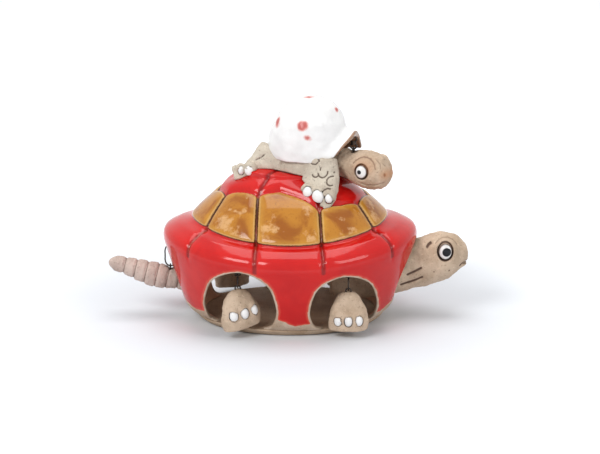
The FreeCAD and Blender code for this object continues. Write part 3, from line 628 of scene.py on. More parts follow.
class Shading:
    """A node tree with short ways to write its nodes."""

    def __init__(self, tree):
        self.tree = tree

    def feed(self, socket, value):
        """Links a socket to another one, or sets it to a colour or a number."""
        if isinstance(value, bpy.types.NodeSocket):
            self.tree.links.new(value, socket)
        else:
            socket.default_value = (*value, 1.0) if isinstance(value, tuple) else value

    def node(self, kind, inputs, **settings):
        """A node with its settings and inputs."""
        made = self.tree.nodes.new(kind)
        for name, value in settings.items():
            setattr(made, name, value)
        for name, value in inputs.items():
            self.feed(made.inputs[name], value)
        return made

    def position(self):
        """Object coordinates in millimetres."""
        source = self.node("ShaderNodeTexCoord", {}).outputs["Object"]
        scaled = self.node("ShaderNodeVectorMath", {0: source, "Scale": 1 / MM}, operation="SCALE")
        return scaled.outputs["Vector"]

    def noise(self, size, detail=3.0, roughness=0.55, distortion=0.0):
        """Noise with marks of a size in millimetres."""
        inputs = {"Scale": 1 / size, "Detail": detail, "Roughness": roughness, "Distortion": distortion}
        return self.node("ShaderNodeTexNoise", {**inputs, "Vector": self.position()}).outputs["Fac"]

    def mark(self, name):
        """The value painted on a piece's points under a name."""
        return self.node("ShaderNodeAttribute", {}, attribute_name=name).outputs["Fac"]

    def maths(self, operation, first, second):
        """One operation on two values or sockets."""
        return self.node("ShaderNodeMath", {0: first, 1: second}, operation=operation).outputs[0]

    def ramp(self, value, low, high):
        """0 below low and 1 above high, smoothly."""
        inputs = {"Value": value, "From Min": low, "From Max": high}
        return self.node("ShaderNodeMapRange", inputs, interpolation_type="SMOOTHSTEP").outputs["Result"]

    def between(self, share, first, second):
        """A value between two."""
        inputs = {"Value": share, "To Min": first, "To Max": second}
        return self.node("ShaderNodeMapRange", inputs).outputs["Result"]

    def wobble(self, size, reach):
        """An uneven value round nought."""
        return self.maths("MULTIPLY", self.maths("SUBTRACT", self.noise(size), 0.5), reach)

    def mixed(self, share, first, second):
        """A colour between two, each a colour or a socket."""
        made = self.node("ShaderNodeMix", {"Factor": share}, data_type="RGBA")
        colours = [socket for socket in made.inputs if socket.type == "RGBA"]
        for socket, value in zip(colours, (first, second)):
            self.feed(socket, value)
        return [socket for socket in made.outputs if socket.type == "RGBA"][0]

    def over(self, colour, share, strength, top):
        """A colour with another laid over it at a strength."""
        return self.mixed(self.maths("MULTIPLY", share, strength), colour, top)

    def cloudy(self, size, first, second, **settings):
        """A colour that drifts softly between two."""
        return self.mixed(self.ramp(self.noise(size, **settings), 0.3, 0.7), first, second)

    def relief(self, height, depth):
        """Fine relief of a depth in millimetres."""
        inputs = {"Height": height, "Distance": depth * MM, "Strength": 1.0}
        return self.node("ShaderNodeBump", inputs).outputs["Normal"]

    def white_share(self):
        """1 for rays that show the background: the camera's, reflected and passed-through ones."""
        path = self.node("ShaderNodeLightPath", {}).outputs
        reflected = self.maths("MAXIMUM", path["Is Glossy Ray"], path["Is Transmission Ray"])
        return self.maths("MAXIMUM", path["Is Camera Ray"], reflected)


def new_material(name, look):
    """A material whose principled shader gets what a look says."""
    material = bpy.data.materials.new(name)
    material.use_nodes = True
    tree = Shading(material.node_tree)
    shader = material.node_tree.nodes["Principled BSDF"]
    for socket, value in look(tree).items():
        tree.feed(shader.inputs[socket], value)
    return material


def clay_colour(tree, light, dark, speck):
    """Speckled clay colour."""
    colour = tree.mixed(tree.ramp(tree.noise(9.0), 0.35, 0.68), light, dark)
    colour = tree.over(colour, tree.ramp(tree.noise(0.75, 2.0), 0.60, 0.70), 0.55, speck)
    pale = tuple(min(1.0, part * 1.35) for part in light)
    return tree.over(colour, tree.ramp(tree.noise(1.3, 2.0), 0.60, 0.72), 0.35, pale)


def clay(light, dark, speck, ink):
    """The look of unglazed clay, with painted shade in its scored lines and hollows, painted shade where its
    tint mark is above nought and a warm tint where it is below.
    """
    def look(tree):
        colour = clay_colour(tree, light, dark, speck)
        # Painted shade in the scored lines, dots, creases and seams
        colour = tree.mixed(tree.ramp(tree.mark("ink"), 0.25, 0.75), colour, ink)
        # Painted shade, dark brown, where the tint mark is above nought, as in the young turtle's pocket for
        # the neck; a warm orange tint where it is below
        colour = tree.over(colour, tree.ramp(tree.mark("blush"), 0.0, 1.0), 0.7, (0.30, 0.15, 0.10))
        colour = tree.mixed(tree.ramp(tree.mark("blush"), 0.0, -1.0), colour, (0.55, 0.24, 0.10))
        relief = tree.maths("ADD", tree.noise(0.5), tree.maths("MULTIPLY", tree.noise(2.2), 1.6))
        rough = tree.between(tree.noise(2.0), 0.62, 0.86)
        return {"Base Color": colour, "Roughness": rough, "Normal": tree.relief(relief, 0.16)}
    return look


def amber_colour(tree, fine):
    """The plates' amber glaze: cloudy, tan in patches, pale at the bevel and dark at the edge."""
    cloud = tree.ramp(tree.noise(11.0, 4.0, distortion=0.6), 0.38, 0.62)
    amber = tree.mixed(cloud, (0.47, 0.190, 0.020), (0.31, 0.092, 0.008))
    patch = tree.ramp(tree.noise(10.0, 4.0, 0.6), 0.545, 0.640)
    patch = tree.maths("MULTIPLY", patch, tree.ramp(tree.mark("plate"), 1.6, 2.4))
    amber = tree.over(amber, patch, 0.6, (0.74, 0.46, 0.22))
    amber = tree.over(amber, tree.ramp(tree.noise(0.9, 2.0), 0.58, 0.70), 0.4, (0.24, 0.075, 0.008))
    edge = tree.maths("ADD", tree.mark("plate"), fine)
    amber = tree.over(amber, tree.ramp(edge, 4.0, 1.6), 0.35, (0.62, 0.33, 0.05))
    amber = tree.over(amber, tree.ramp(edge, 1.75, 1.05), 0.5, (0.72, 0.47, 0.18))
    return tree.mixed(tree.ramp(edge, 0.95, 0.5), amber, (0.070, 0.022, 0.008))


def glazed_shell(tree):
    """Red and amber glazes over beige clay, and inside an orange brown lightened as painted light."""
    fine = tree.wobble(0.8, 0.7)
    red = tree.cloudy(14.0, (0.60, 0.010, 0.008), (0.52, 0.006, 0.006), distortion=0.6)
    red = tree.over(red, tree.ramp(tree.mark("groove"), 1.5, 0.3), 0.75, (0.17, 0.003, 0.004))
    on_amber = tree.ramp(tree.maths("ADD", tree.mark("amber"), fine), -0.25, 0.25)
    glaze = tree.mixed(on_amber, red, amber_colour(tree, fine))
    bare = tree.maths("ADD", tree.mark("bare"), tree.wobble(3.0, 1.12))
    glaze = tree.over(glaze, tree.ramp(bare, -1.3, -0.1), 0.45, (0.66, 0.16, 0.09))
    on_clay = tree.ramp(bare, -0.2, 0.2)
    beige = clay_colour(tree, (0.60, 0.48, 0.37), (0.46, 0.34, 0.24), (0.25, 0.16, 0.10))
    # Inside: the clay's orange brown, made lighter than the clay outside as painted light in the hollow shell
    inside = tree.cloudy(12.0, (0.80, 0.52, 0.36), (0.64, 0.38, 0.25))
    colour = tree.mixed(on_clay, glaze, beige)
    colour = tree.mixed(tree.ramp(tree.mark("inner"), 0.2, 0.9), colour, inside)
    grain = tree.maths("MULTIPLY", tree.noise(0.6), tree.maths("ADD", on_clay, 0.02))
    relief = tree.maths("ADD", grain, tree.maths("MULTIPLY", tree.noise(9.0, 1.0), 0.5))
    return {"Base Color": colour, "Roughness": tree.between(on_clay, 0.10, 0.72), "Specular IOR Level": 0.32,
            "Normal": tree.relief(relief, 0.25)}


def white_glaze(tree):
    """Thick white glaze with soft red spots where they are painted, and bare clay inside the hood, darkened
    to brown with painted shade.
    """
    colour = tree.cloudy(8.0, (0.88, 0.87, 0.86), (0.80, 0.79, 0.78))
    spot = tree.maths("ADD", tree.mark("spot"), tree.wobble(2.2, 1.6))
    colour = tree.mixed(tree.ramp(spot, -0.7, 0.5), colour, (0.70, 0.30, 0.27))
    colour = tree.over(colour, tree.ramp(spot, 0.0, 1.0), 0.85, (0.48, 0.09, 0.08))
    # Bare clay inside the hood, a darker brown than the clay elsewhere as painted shade
    brown = clay_colour(tree, (0.36, 0.21, 0.13), (0.27, 0.15, 0.09), (0.13, 0.07, 0.045))
    colour = tree.mixed(tree.ramp(tree.mark("clay"), -0.3, 0.3), colour, brown)
    rough = tree.between(tree.ramp(tree.noise(6.0), 0.3, 0.7), 0.14, 0.22)
    return {"Base Color": colour, "Roughness": rough, "Specular IOR Level": 0.28,
            "Normal": tree.relief(tree.noise(4.0, 1.0), 0.3)}


def eye_glaze(tree):
    """Glossy eyeball: white with a black pupil, and a thin brown ring of painted shade at its edge."""
    white = tree.cloudy(3.0, (0.84, 0.82, 0.80), (0.74, 0.71, 0.69))
    black = tree.cloudy(1.5, (0.006, 0.006, 0.008), (0.012, 0.012, 0.016))
    colour = tree.mixed(tree.ramp(tree.mark("pupil"), 0.12, -0.12), white, black)
    # Painted shade at the eyeball's edge, where it sits in its socket
    colour = tree.mixed(tree.ramp(tree.mark("rim_shade"), 0.5, 1.0), colour, SHADE_BROWN)
    rough = tree.between(tree.noise(2.0), 0.06, 0.14)
    return {"Base Color": colour, "Roughness": rough, "Specular IOR Level": 0.25}


def iron_wire(tree):
    """Blackened annealed iron wire."""
    colour = tree.mixed(tree.ramp(tree.noise(1.2), 0.4, 0.65), (0.030, 0.026, 0.024), (0.085, 0.060, 0.045))
    rough = tree.between(tree.noise(0.8), 0.38, 0.62)
    relief = tree.relief(tree.noise(0.3), 0.02)
    return {"Base Color": colour, "Metallic": 0.8, "Roughness": rough, "Normal": relief}


def pale_floor(tree):
    """A pale floor that shows whiter to the camera farther out and keeps the shadow."""
    apart = tree.node("ShaderNodeVectorMath", {0: tree.position()}, operation="LENGTH").outputs["Value"]
    glow = tree.maths("MULTIPLY", tree.white_share(), tree.ramp(apart, *FLOOR_GLOW))
    return {"Base Color": (0.75, 0.78, 0.82), "Roughness": 0.6, "Specular IOR Level": 0.2,
            "Emission Color": (1.0, 1.0, 1.0), "Emission Strength": tree.maths("MULTIPLY", glow, 0.45)}


# Each clay: its light, dark and speck colours, and the colour of the painted shade in its scored lines and
# hollows
SHADE_BROWN = (0.10, 0.055, 0.035)
CLAYS = {
    "pale_clay": ((0.58, 0.44, 0.32), (0.44, 0.32, 0.22), (0.20, 0.12, 0.08), SHADE_BROWN),
    "grey_clay": ((0.60, 0.53, 0.43), (0.46, 0.39, 0.31), (0.20, 0.16, 0.13), (0.13, 0.095, 0.07)),
    "rosy_clay": ((0.58, 0.45, 0.39), (0.46, 0.35, 0.30), (0.22, 0.14, 0.11), (0.12, 0.07, 0.05)),
    "bare_clay": ((0.50, 0.37, 0.26), (0.40, 0.28, 0.18), (0.18, 0.11, 0.07), SHADE_BROWN),
}
GLAZED_SHELL = new_material("glazed_shell", glazed_shell)
PALE_CLAY, GREY_CLAY, ROSY_CLAY, BARE_CLAY = [new_material(name, clay(*CLAYS[name])) for name in CLAYS]
WHITE_GLAZE = new_material("white_glaze", white_glaze)
EYE_GLAZE = new_material("eye_glaze", eye_glaze)
IRON_WIRE = new_material("iron_wire", iron_wire)


# Mother's shell

def shell_table():
    """Dense rows of the shell: height, half length, half width, side drop and the profile's steepness."""
    rows = smooth_rows(SHELL_RINGS, 12) * np.array([HALF_LENGTH, HALF_WIDTH, SHELL_RISE, SHELL_RISE])
    height = rows[:, 2] + SLAB_TOP
    lean = np.gradient(rows[:, 0], height)
    return height, rows[:, 0], rows[:, 1], rows[:, 3], 1 / np.sqrt(1 + lean * lean)


SHELL_TABLE = shell_table()


def shell_level(place):
    """The height of the ring that a point lies on, and its distance from the plain outside."""
    x, y, z = place
    height, long, wide, drop, steep = SHELL_TABLE
    across = (y / (SHELL_WIDTH / SHELL_LENGTH)) ** 2
    across = across / (x ** 2 + across + 1e-6)
    level = z
    for _ in range(4):
        level = z + np.interp(level, height, drop) * across
    half_long = np.interp(level, height, long)
    half_wide = np.interp(level, height, wide)
    ratio = np.sqrt((x / half_long) ** 2 + (y / half_wide) ** 2)
    size = half_long * half_wide / np.sqrt((half_long ** 2) * across + (half_wide ** 2) * (1 - across))
    skin = (ratio - 1) * size * np.interp(level, height, steep)
    return level, np.maximum(skin, level - SHELL_HEIGHT)


def groove_gap(place, lines=GROOVES):
    """Distance from the nearest groove, in plan."""
    size = np.array((HALF_LENGTH, HALF_WIDTH))
    scaled = [(np.array(high) * size, np.array(low) * size * GROOVE_OVERRUN) for high, low in lines]
    return lines_gap(place[0], -np.abs(place[1]), scaled)


def red_top_gap(place):
    """Distance in plan from the outline of the red top, negative inside it."""
    front = [(u * HALF_LENGTH, v * HALF_WIDTH) for u, v in RED_TOP]
    back = [(u, -v) for u, v in front[-2:0:-1]]
    return area_gap(place[0], place[1], front + back)


def opening_outline(centre, width, height):
    """A leg opening's smooth outline in the plane of X and Z."""
    outline = smooth_ring(both_halves(OPENING_OUTLINE), 4)
    return [(centre + across * width, SLAB_TOP + SILL_HEIGHT + up * height) for across, up in outline]


def shell_holes(place):
    """Distance to everything that is cut through the shell's wall."""
    x, y, z = place
    legs = [area_gap(x, z, opening_outline(*opening)) for opening in OPENINGS]
    neck, tail = [egg((x * 0, y, z), (0, 0, middle), (1, wide, tall))
                  for middle, wide, tall in (NECK_HOLE, TAIL_HOLE)]
    wire = np.hypot(y, z - TAIL_WIRE_HOLE[0]) - TAIL_WIRE_HOLE[1]
    ahead = np.maximum(neck, END_HOLES_START - x)
    behind = np.maximum(np.minimum(tail, wire), x + END_HOLES_START)
    return np.minimum.reduce([*legs, ahead, behind])


def shell_field(place):
    """The mother's shell: plates, grooves, openings and the thin wall."""
    level, skin = shell_level(place)
    gap = groove_gap(place)
    fade = above(level, GROOVE_FOOT + 2.5, 1.2)
    top = red_top_gap(place)
    on_plates = above(level, AMBER_FOOT, 0.5)
    grooves = (0.75 * score(gap, 0.75) + 0.35 * score(gap, 2.2)) * fade
    grooves = grooves + 0.6 * score(np.abs(top), 0.8) * on_plates
    grooves = grooves + 0.45 * score(groove_gap(place, TOP_CREASES), 0.8) * (top < 0)
    edge = np.minimum.reduce([np.maximum(top, 0.0), gap, np.maximum(level - AMBER_FOOT, 0.0) * 1.6])
    pillow = 0.55 * (1 - np.exp(-edge / 1.5)) * on_plates * (top > 0)
    step = 0.5 * score(level - AMBER_FOOT + 0.5, 0.8)
    outer = skin + grooves + step - pillow - mound_height(place, level) + 0.22 * ripple(place, 34, 5)
    wall = smooth_meet(outer, -(skin + SHELL_WALL), 0.3)
    wall = smooth_cut(wall, shell_holes(place), 0.9)
    return smooth_meet(wall, SLAB_TOP - place[2] + 0.02, 0.3)


def crown_field(place):
    """The shell's plain outside with the mounds under the young turtle."""
    level, skin = shell_level(place)
    return skin - mound_height(place, level)


def mound_height(place, level):
    """How far the raised red top and the clay under the young turtle stand over the crown."""
    along = (place[0] - SWELL_PLACE[0]) / SWELL_SPREAD[0]
    across = (np.abs(place[1]) - SWELL_PLACE[1]) / SWELL_SPREAD[1]
    swell = SWELL_RISE * np.exp(-(along ** 2 + across ** 2)) * above(level, SWELL_FOOT, 1.0)
    inside = np.maximum(-red_top_gap(place) - 0.3, 0.0)
    rise = RED_TOP_RISE * above(level, AMBER_FOOT + 3, 0.5) * above(place[0], RED_TOP_FRONT, -2.0)
    ahead, side, _ = young_frame(place)
    under_neck = above(np.abs(side), NECK_HALF_WIDTH, -0.8) * above(ahead, NECK_START, 0.8)
    return (swell + rise * (1 - np.exp(-inside / 1.1))) * (1 - under_neck)


def glaze_foot(place):
    """Height of the red glaze's lower edge round the shell."""
    table = np.array(GLAZE_FOOT)
    along = place[0] / np.sqrt(place[0] ** 2 + (place[1] * SHELL_LENGTH / SHELL_WIDTH) ** 2 + 1e-6)
    return np.interp(along, table[:, 0], table[:, 1])


def shell_marks(place):
    """Where the glazes, the bare clay, the plates' edges, the dark grooves and the inside are."""
    level, skin = shell_level(place)
    top = red_top_gap(place)
    gap = groove_gap(place)
    crease = groove_gap(place, TOP_CREASES) + 50.0 * (top > 0)
    fade = np.clip((GROOVE_FOOT + 2 - level) / 2.0, 0, 1)
    return {
        "amber": np.minimum(level - AMBER_FOOT, top),
        "plate": np.minimum.reduce([gap, np.abs(top), np.abs(level - AMBER_FOOT) * 1.5]),
        "groove": np.minimum(np.minimum(gap, crease) + fade * 3, 3.0),
        "bare": np.maximum.reduce([glaze_foot(place) - place[2], 0.9 - shell_holes(place), -skin - 1.9]),
        "inner": np.clip((-skin - SHELL_WALL + 0.9) / 0.5, 0, 1),
    }


def mother_shell():
    """The hollow glazed shell. Its inside, which is hardly seen, gets fewer faces."""
    points, faces = skin_mesh(shell_field, (-59.5, -49.5, 1.5), (59.5, 49.5, 71.5), 0.62)
    piece = mesh_object("mother_shell", points, faces)
    skin = shell_level(places_of(piece))[1]
    hidden = piece.vertex_groups.new(name="inside")
    hidden.add(np.flatnonzero(skin < -SHELL_WALL + 0.3).tolist(), 1.0, "REPLACE")
    fewer = piece.modifiers.new("fewer", "DECIMATE")
    fewer.ratio = 0.62
    fewer.vertex_group = "inside"
    fewer.vertex_group_factor = 10.0
    apply_modifiers(piece)
    piece.vertex_groups.clear()
    painted(piece, shell_marks)
    dressed(piece, GLAZED_SHELL, "body", "shell")


def apply_modifiers(piece):
    """Keeps a piece's shape with its modifiers as its own mesh."""
    seen = piece.evaluated_get(bpy.context.evaluated_depsgraph_get())
    mesh = bpy.data.meshes.new_from_object(seen)
    piece.modifiers.clear()
    piece.data = mesh
    mesh.polygons.foreach_set("use_smooth", np.ones(len(mesh.polygons), bool))


def slab_field(place):
    """The flat slab under the shell."""
    x, y, z = place
    draft = 3.0 * np.clip((SLAB_TOP - z) / SLAB_TOP, 0, 1) ** 1.5
    half_long = HALF_LENGTH * SHELL_RINGS[0][0] - draft
    half_wide = HALF_WIDTH * SHELL_RINGS[0][1] - draft
    ratio = np.sqrt((x / half_long) ** 2 + (y / half_wide) ** 2)
    disc = (ratio - 1) * half_wide
    return smooth_meet(smooth_meet(disc, z - SLAB_TOP, 0.25), -z, 0.5)


# Feet

FOOT_ROWS = [(up * FOOT_HEIGHT, 0.0, -out * FOOT_DEPTH, wide * FOOT_WIDTH / 2, deep * FOOT_DEPTH / 2)
             for up, wide, deep, out in FOOT_RINGS]


def foot_frame(place, foot):
    """Points in a foot's own frame, toes out along minus Y."""
    x, y, rise, turn, tilt, _, wide = FEET[foot]
    across, deep, up = tilted(turned(place, (x, y, rise), turn), tilt)
    return across / wide, deep, up


def foot_claws(lift):
    """The claws in a foot's own frame, at a height: root, fan and half sizes."""
    claws = []
    for step in (-1, 0, 1):
        side = step * CLAW_SPACING / (FOOT_WIDTH / 2)
        root = (step * CLAW_SPACING, -FOOT_DEPTH / 2 * math.sqrt(1 - side * side), lift)
        claws.append((root, step * CLAW_FAN, CLAW_RADII))
    return claws


def foot_field(place, lift, seed):
    """A hand-pinched foot with toes round its claws."""
    x, y, z = place
    claws = foot_claws(lift)
    foot = stack(z, x, y, FOOT_ROWS, 0.9)
    for root, fan, _ in claws:
        foot = smooth_join(foot, egg(turned(place, root, fan), TOE_MIDDLE, TOE_SIZE), 0.9)
    foot = smooth_cut(foot, egg(place, (0, -FOOT_DEPTH / 2 - 0.4, lift + DENT_RISE), DENT_SIZE), 0.5)
    foot = smooth_cut(foot, claw_gap(place, claws, 0.12, CLAW_SINK), 0.25)
    foot = foot + 0.16 * ripple(place, 6.0, seed) + 0.06 * ripple(place, 2.0, seed + 1)
    return smooth_meet(foot, -z, 0.5)


def hung_foot(foot, seed):
    """A foot and its claws, with painted shade on the clay round the claws."""
    x, y, rise, _, _, lift, _ = FEET[foot]
    half, below, over = FOOT_GRID
    low = (x - half, y - half, rise - below)
    high = (x + half, y + half, rise + over)

    def claws(place):
        return claw_gap(foot_frame(place, foot), foot_claws(lift), sink=CLAW_SINK)

    # The clay round each claw is darkened with painted shade
    form("clay_foot_" + foot, lambda place: foot_field(foot_frame(place, foot), lift, seed), low, high, 0.36,
         PALE_CLAY, "foot_" + foot, "foot_" + foot,
         clay_marks(lambda place: score(claws(place) - 0.2, 0.35) * 0.55))
    form("glazed_claws_" + foot, claws, low, high, 0.3, WHITE_GLAZE, "foot_" + foot,
         "claws_" + foot, white_marks())


# Wires

WIRE_RADIUS = 0.33
WIRE_SIDES = 8
WIRE_EYE_RADIUS = 1.15

# A wire eye's stem on one side: shares of its radius outward, and heights from its middle
WIRE_EYE_STEM = ((-0.55, -3.4), (-0.8, -1.6))


def tube(points, radius, closed=False):
    """Points and faces of a round wire along points."""
    points = np.array(points, float)
    count = len(points)
    ways = np.roll(points, -1, 0) - np.roll(points, 1, 0) if closed else np.gradient(points, axis=0)
    ways = ways / np.linalg.norm(ways, axis=1, keepdims=True)
    side = np.cross(ways[0], (0.3, 0.5, 0.81))
    turns = [2 * math.pi * step / WIRE_SIDES for step in range(WIRE_SIDES)]
    skin, faces = [], []
    for point, way in zip(points, ways):
        side = side - way * (side @ way)
        side = side / np.linalg.norm(side)
        top = np.cross(way, side)
        skin += [point + radius * (side * math.cos(turn) + top * math.sin(turn)) for turn in turns]
    for index in range(count if closed else count - 1):
        ring = index * WIRE_SIDES
        after = (index + 1) % count * WIRE_SIDES
        for step in range(WIRE_SIDES):
            following = (step + 1) % WIRE_SIDES
            faces.append((ring + step, ring + following, after + following, after + step))
    if not closed:
        faces.append(tuple(range(WIRE_SIDES))[::-1])
        faces.append(tuple(range((count - 1) * WIRE_SIDES, count * WIRE_SIDES)))
    return skin, faces


def joined(parts):
    """Several meshes as one."""
    points, faces = [], []
    for part_points, part_faces in parts:
        start = len(points)
        points += list(part_points)
        faces += [tuple(start + index for index in face) for face in part_faces]
    return points, faces


def coil(start, stop, radius, turns):
    """A helix from one place to another."""
    way = (stop - start) / np.linalg.norm(stop - start)
    side = np.cross(way, (0.2, 0.9, 0.3))
    side = side / np.linalg.norm(side)
    top = np.cross(way, side)
    steps = int(turns * 10)
    line = []
    for step in range(steps + 1):
        angle = 2 * math.pi * turns * step / steps
        middle = start + (stop - start) * step / steps
        line.append(middle + radius * (side * math.cos(angle) + top * math.sin(angle)))
    return line


def node_box(name):
    """A CAD node's corners in millimetres."""
    low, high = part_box(name)
    return np.array(low) / MM, np.array(high) / MM


def joint_place(name):
    """A joint's place in millimetres."""
    entry = [found for found in frame["record"]["behaviour"]["joints"] if found["name"] == name][0]
    return np.array(entry["pos_m"]) / MM


def link_wire(name, part, across, half_wide, waist, outer_share=1.0, sink=0.0):
    """A loop of wire from the carrying hole down to a part's eye.

    The waist is a share of the half width, and a loop with a tight waist has its ends wound round it.
    The outer share narrows one side, and the sink lets the loop start below the joint.
    """
    top = joint_place("swing_" + part)
    base = np.array((top[0], top[1], node_box("loop_" + part)[0][2] + WIRE_RADIUS))
    height = top[2] - sink - base[2]
    half = ((0.0, 1.0), (0.75, 0.90), (1.0, 0.72), (waist, 0.56),
            (waist, 0.44), (1.0, 0.28), (0.75, 0.10), (0.0, 0.0))
    ring = [base + across * (half_wide * share) + np.array((0, 0, height * up))
            for share, up in both_halves(half, outer_share)]
    parts = [tube(smooth_ring(ring, 6), WIRE_RADIUS, closed=True)]
    if waist < 0.6:
        middle = base + np.array((0, 0, height * 0.5))
        reach = np.array((0, 0, min(1.5, height * 0.13)))
        line = coil(middle - reach, middle + reach, half_wide * waist + WIRE_RADIUS * 1.7, 3.5)
        end = line[-1] + np.array((0.9, -0.5, 0.9))
        parts.append(tube(smooth_rows(line[::2] + [end], 3), WIRE_RADIUS * 0.9))
    dressed(mesh_object(name, *joined(parts)), IRON_WIRE, "link_" + part, "loop_" + part)


def eye_wire(name, node_name, body, across):
    """The small wire eye that stands out of a piece."""
    low, high = node_box(node_name)
    middle = (low + high) / 2
    centre = np.array((middle[0], middle[1], high[2] - WIRE_RADIUS - WIRE_EYE_RADIUS))
    stem = [(share * WIRE_EYE_RADIUS, up) for share, up in WIRE_EYE_STEM]
    outline = stem + arc((0, 0), WIRE_EYE_RADIUS, 180, 0) + [(-aside, up) for aside, up in stem[::-1]]
    points = [centre + across * aside + np.array((0, 0, up)) for aside, up in outline]
    piece = mesh_object(name, *tube(smooth_rows(points, 4), WIRE_RADIUS))
    dressed(piece, IRON_WIRE, body, node_name)


# Mother's head

def head_rows(rings, length, floor, height, width, tip):
    """Sections of a head, from its inner end to its tip."""
    return [(tip - back * length, 0.0, floor + (low + high) / 2 * height,
             wide * width / 2, (high - low) / 2 * height) for back, low, high, wide in rings[::-1]]


HEAD_ROWS = head_rows(HEAD_RINGS, HEAD_LENGTH, HEAD_FLOOR, HEAD_HEIGHT, HEAD_WIDTH, HEAD_TIP)
HEAD_EYE = (69.4, 9.7, 31.9)
HEAD_EYE_SIZE = (2.95, 1.9, 3.6)

# Share of an eye's size at which its dark ring lies, and a pupil's place in X and Z and its radius
EYE_RING = 1.12
HEAD_PUPIL = (69.9, 31.9, 2.0)

# Rim of the eye and side of the beak: middle, half sizes and fillet
HEAD_LUMPS = (
    ((69.8, 7.0, 31.4), (6.0, 3.5, 5.4), 1.5),
    ((77.0, 1.5, 28.6), (2.6, 2.6, 4.2), 1.4),
)

# Lines scored in each side of the head, in the plane of X and Z
HEAD_SCORES = (
    ((52.6, 21.4), (55.6, 22.8), (58.6, 24.4)),
    ((49.8, 16.4), (54.6, 18.0), (59.2, 19.9)),
    ((61.4, 33.4), (62.0, 34.3), (63.0, 35.0)),
)
HEAD_BROW = arc((69.6, 31.4), 6.0, 30, 140, 8, 0.95)
HEAD_DOTS = ((64.4, 22.6), (71.3, 22.8))
HEAD_MOUTH = ((76.3, 24.3), (77.0, 25.2), (79.2, 26.2))

# The mouth's slit: middle and half sizes
MOUTH_SLIT = ((79.4, 0, 25.1), (2.7, 8.0, 0.8))


def head_ink(place):
    """Strength of the scored lines, the dots, the eye's edge, the brow and the mouth, which are cut into the
    head and darkened with painted shade.
    """
    x, y, z = place
    ring = eye_ratio(x, z, HEAD_EYE, HEAD_EYE_SIZE) - EYE_RING
    return np.maximum.reduce([
        score(lines_gap(x, z, HEAD_SCORES), 0.62),
        *[score(np.hypot(x - dot_x, z - dot_z), 0.5) * 0.8 for dot_x, dot_z in HEAD_DOTS],
        score(ring * 3.2, 0.5) * (np.abs(y) > 5),
        score(line_gap(x, z, HEAD_BROW) + 9.0 * (np.abs(y) < 3), 0.4) * 0.5,
        score(line_gap(x, z, HEAD_MOUTH), 0.45) * 0.9,
    ])


def head_field(place):
    """The mother's head and neck, with rims and sockets for the eyes, a beak, a mouth and scored lines."""
    x, y, z = place
    mirrored = (x, np.abs(y), z)
    head = with_lumps(stack(x, y, z, HEAD_ROWS), mirrored, HEAD_LUMPS)
    head = smooth_cut(head, egg(mirrored, *MOUTH_SLIT), 0.4)
    head = smooth_cut(head, egg(mirrored, HEAD_EYE, grown(HEAD_EYE_SIZE, 0.45)), 0.5)
    head = head + 0.55 * head_ink(mirrored) * (mirrored[1] > 3)
    head = head + 0.2 * ripple(place, 9.0, 31) + 0.07 * ripple(place, 2.4, 32)
    return smooth_cut(head, wire_pocket(place, *HEAD_POCKET), 0.4)


def eyeballs(name, node_name, body, eye, size, pupil, reach, step, frame_of=tuple, place_of=np.array):
    """Both eyeballs of a head, each with its pupil and a ring of painted shade at its edge as seen from the
    side.

    The last two functions lead into the head's own frame and back to the model's.
    """
    for side, sign in SIDES:
        centre = (eye[0], eye[1] * sign, eye[2])
        middle = place_of(centre)

        def marks(place):
            x, _, z = frame_of(place)
            seen = np.hypot(x - pupil[0], z - pupil[1]) - pupil[2]
            return {"pupil": seen, "rim_shade": eye_ratio(x, z, eye, size) ** 3}

        form(name + side, lambda place: egg(frame_of(place), centre, size), middle - reach, middle + reach,
             step, EYE_GLAZE, body, node_name + side, marks)


# Tail

def tail_frame(place):
    """Points measured from the tail's tip along its axis."""
    return tilted([place[axis] - TAIL_TIP[axis] for axis in range(3)], -TAIL_SLOPE)


def tail_wave(along):
    """How far a place is from the nearest groove between the tail's rings, as a share of a ring."""
    rings = (along + 2.4) / TAIL_RING_LENGTH
    return rings - np.round(rings)


def tail_field(place):
    """A tapering tail pinched into rings."""
    along, side, up = tail_frame(place)
    radius = TAIL_TIP_RADIUS + (TAIL_ROOT_RADIUS - TAIL_TIP_RADIUS) * along / TAIL_LENGTH
    radius = radius + 1.25 * np.clip((30.0 - along) / 8.0, 0.0, 1.0)
    lower = np.interp(along, (6.0, 20.0, 26.0, 34.0), (0.0, 1.0, 1.0, 0.4))
    radius, up = radius + lower, up + lower
    rounding = np.clip(1 - (TAIL_ROUND_END - along) / TAIL_ROUND_END, 0.02, 1) ** 0.5
    radius = radius * np.where(along < TAIL_ROUND_END, rounding, 1.0)
    wave = tail_wave(along) * TAIL_RING_LENGTH + 0.25 * np.sin(3 * np.arctan2(up, side))
    skin = np.hypot(side, up * 1.04) - radius + 0.6 * score(wave, 0.62) * (along > 3.5)
    skin = skin + 0.13 * ripple(place, 4.0, 41) + 0.05 * ripple(place, 1.6, 42)
    skin = smooth_meet(skin, np.maximum(-along, along - TAIL_LENGTH), 0.8)
    fall = (TAIL_POCKET_X - TAIL_TIP[0]) * math.tan(math.radians(TAIL_SLOPE))
    floor = TAIL_TIP[2] - fall + TAIL_POCKET_RISE
    return smooth_cut(skin, wire_pocket(place, TAIL_POCKET_X, floor), 0.3)


def tail_ink(place):
    """Painted shade in the grooves between the rings."""
    along = tail_frame(place)[0]
    return score(tail_wave(along) * TAIL_RING_LENGTH, 0.42) * 0.62 * (along > 3.5)


# Young turtle

def young_frame(place):
    """Points in the young turtle's own frame."""
    return turned(place, (*YOUNG_PLACE, 0.0), YOUNG_TURN)


def on_young(place):
    """A place of the young turtle's frame in the model's frame."""
    x, y = rotated(place[0], place[1], -YOUNG_TURN)
    return np.array((YOUNG_PLACE[0] + x, YOUNG_PLACE[1] + y, place[2]))


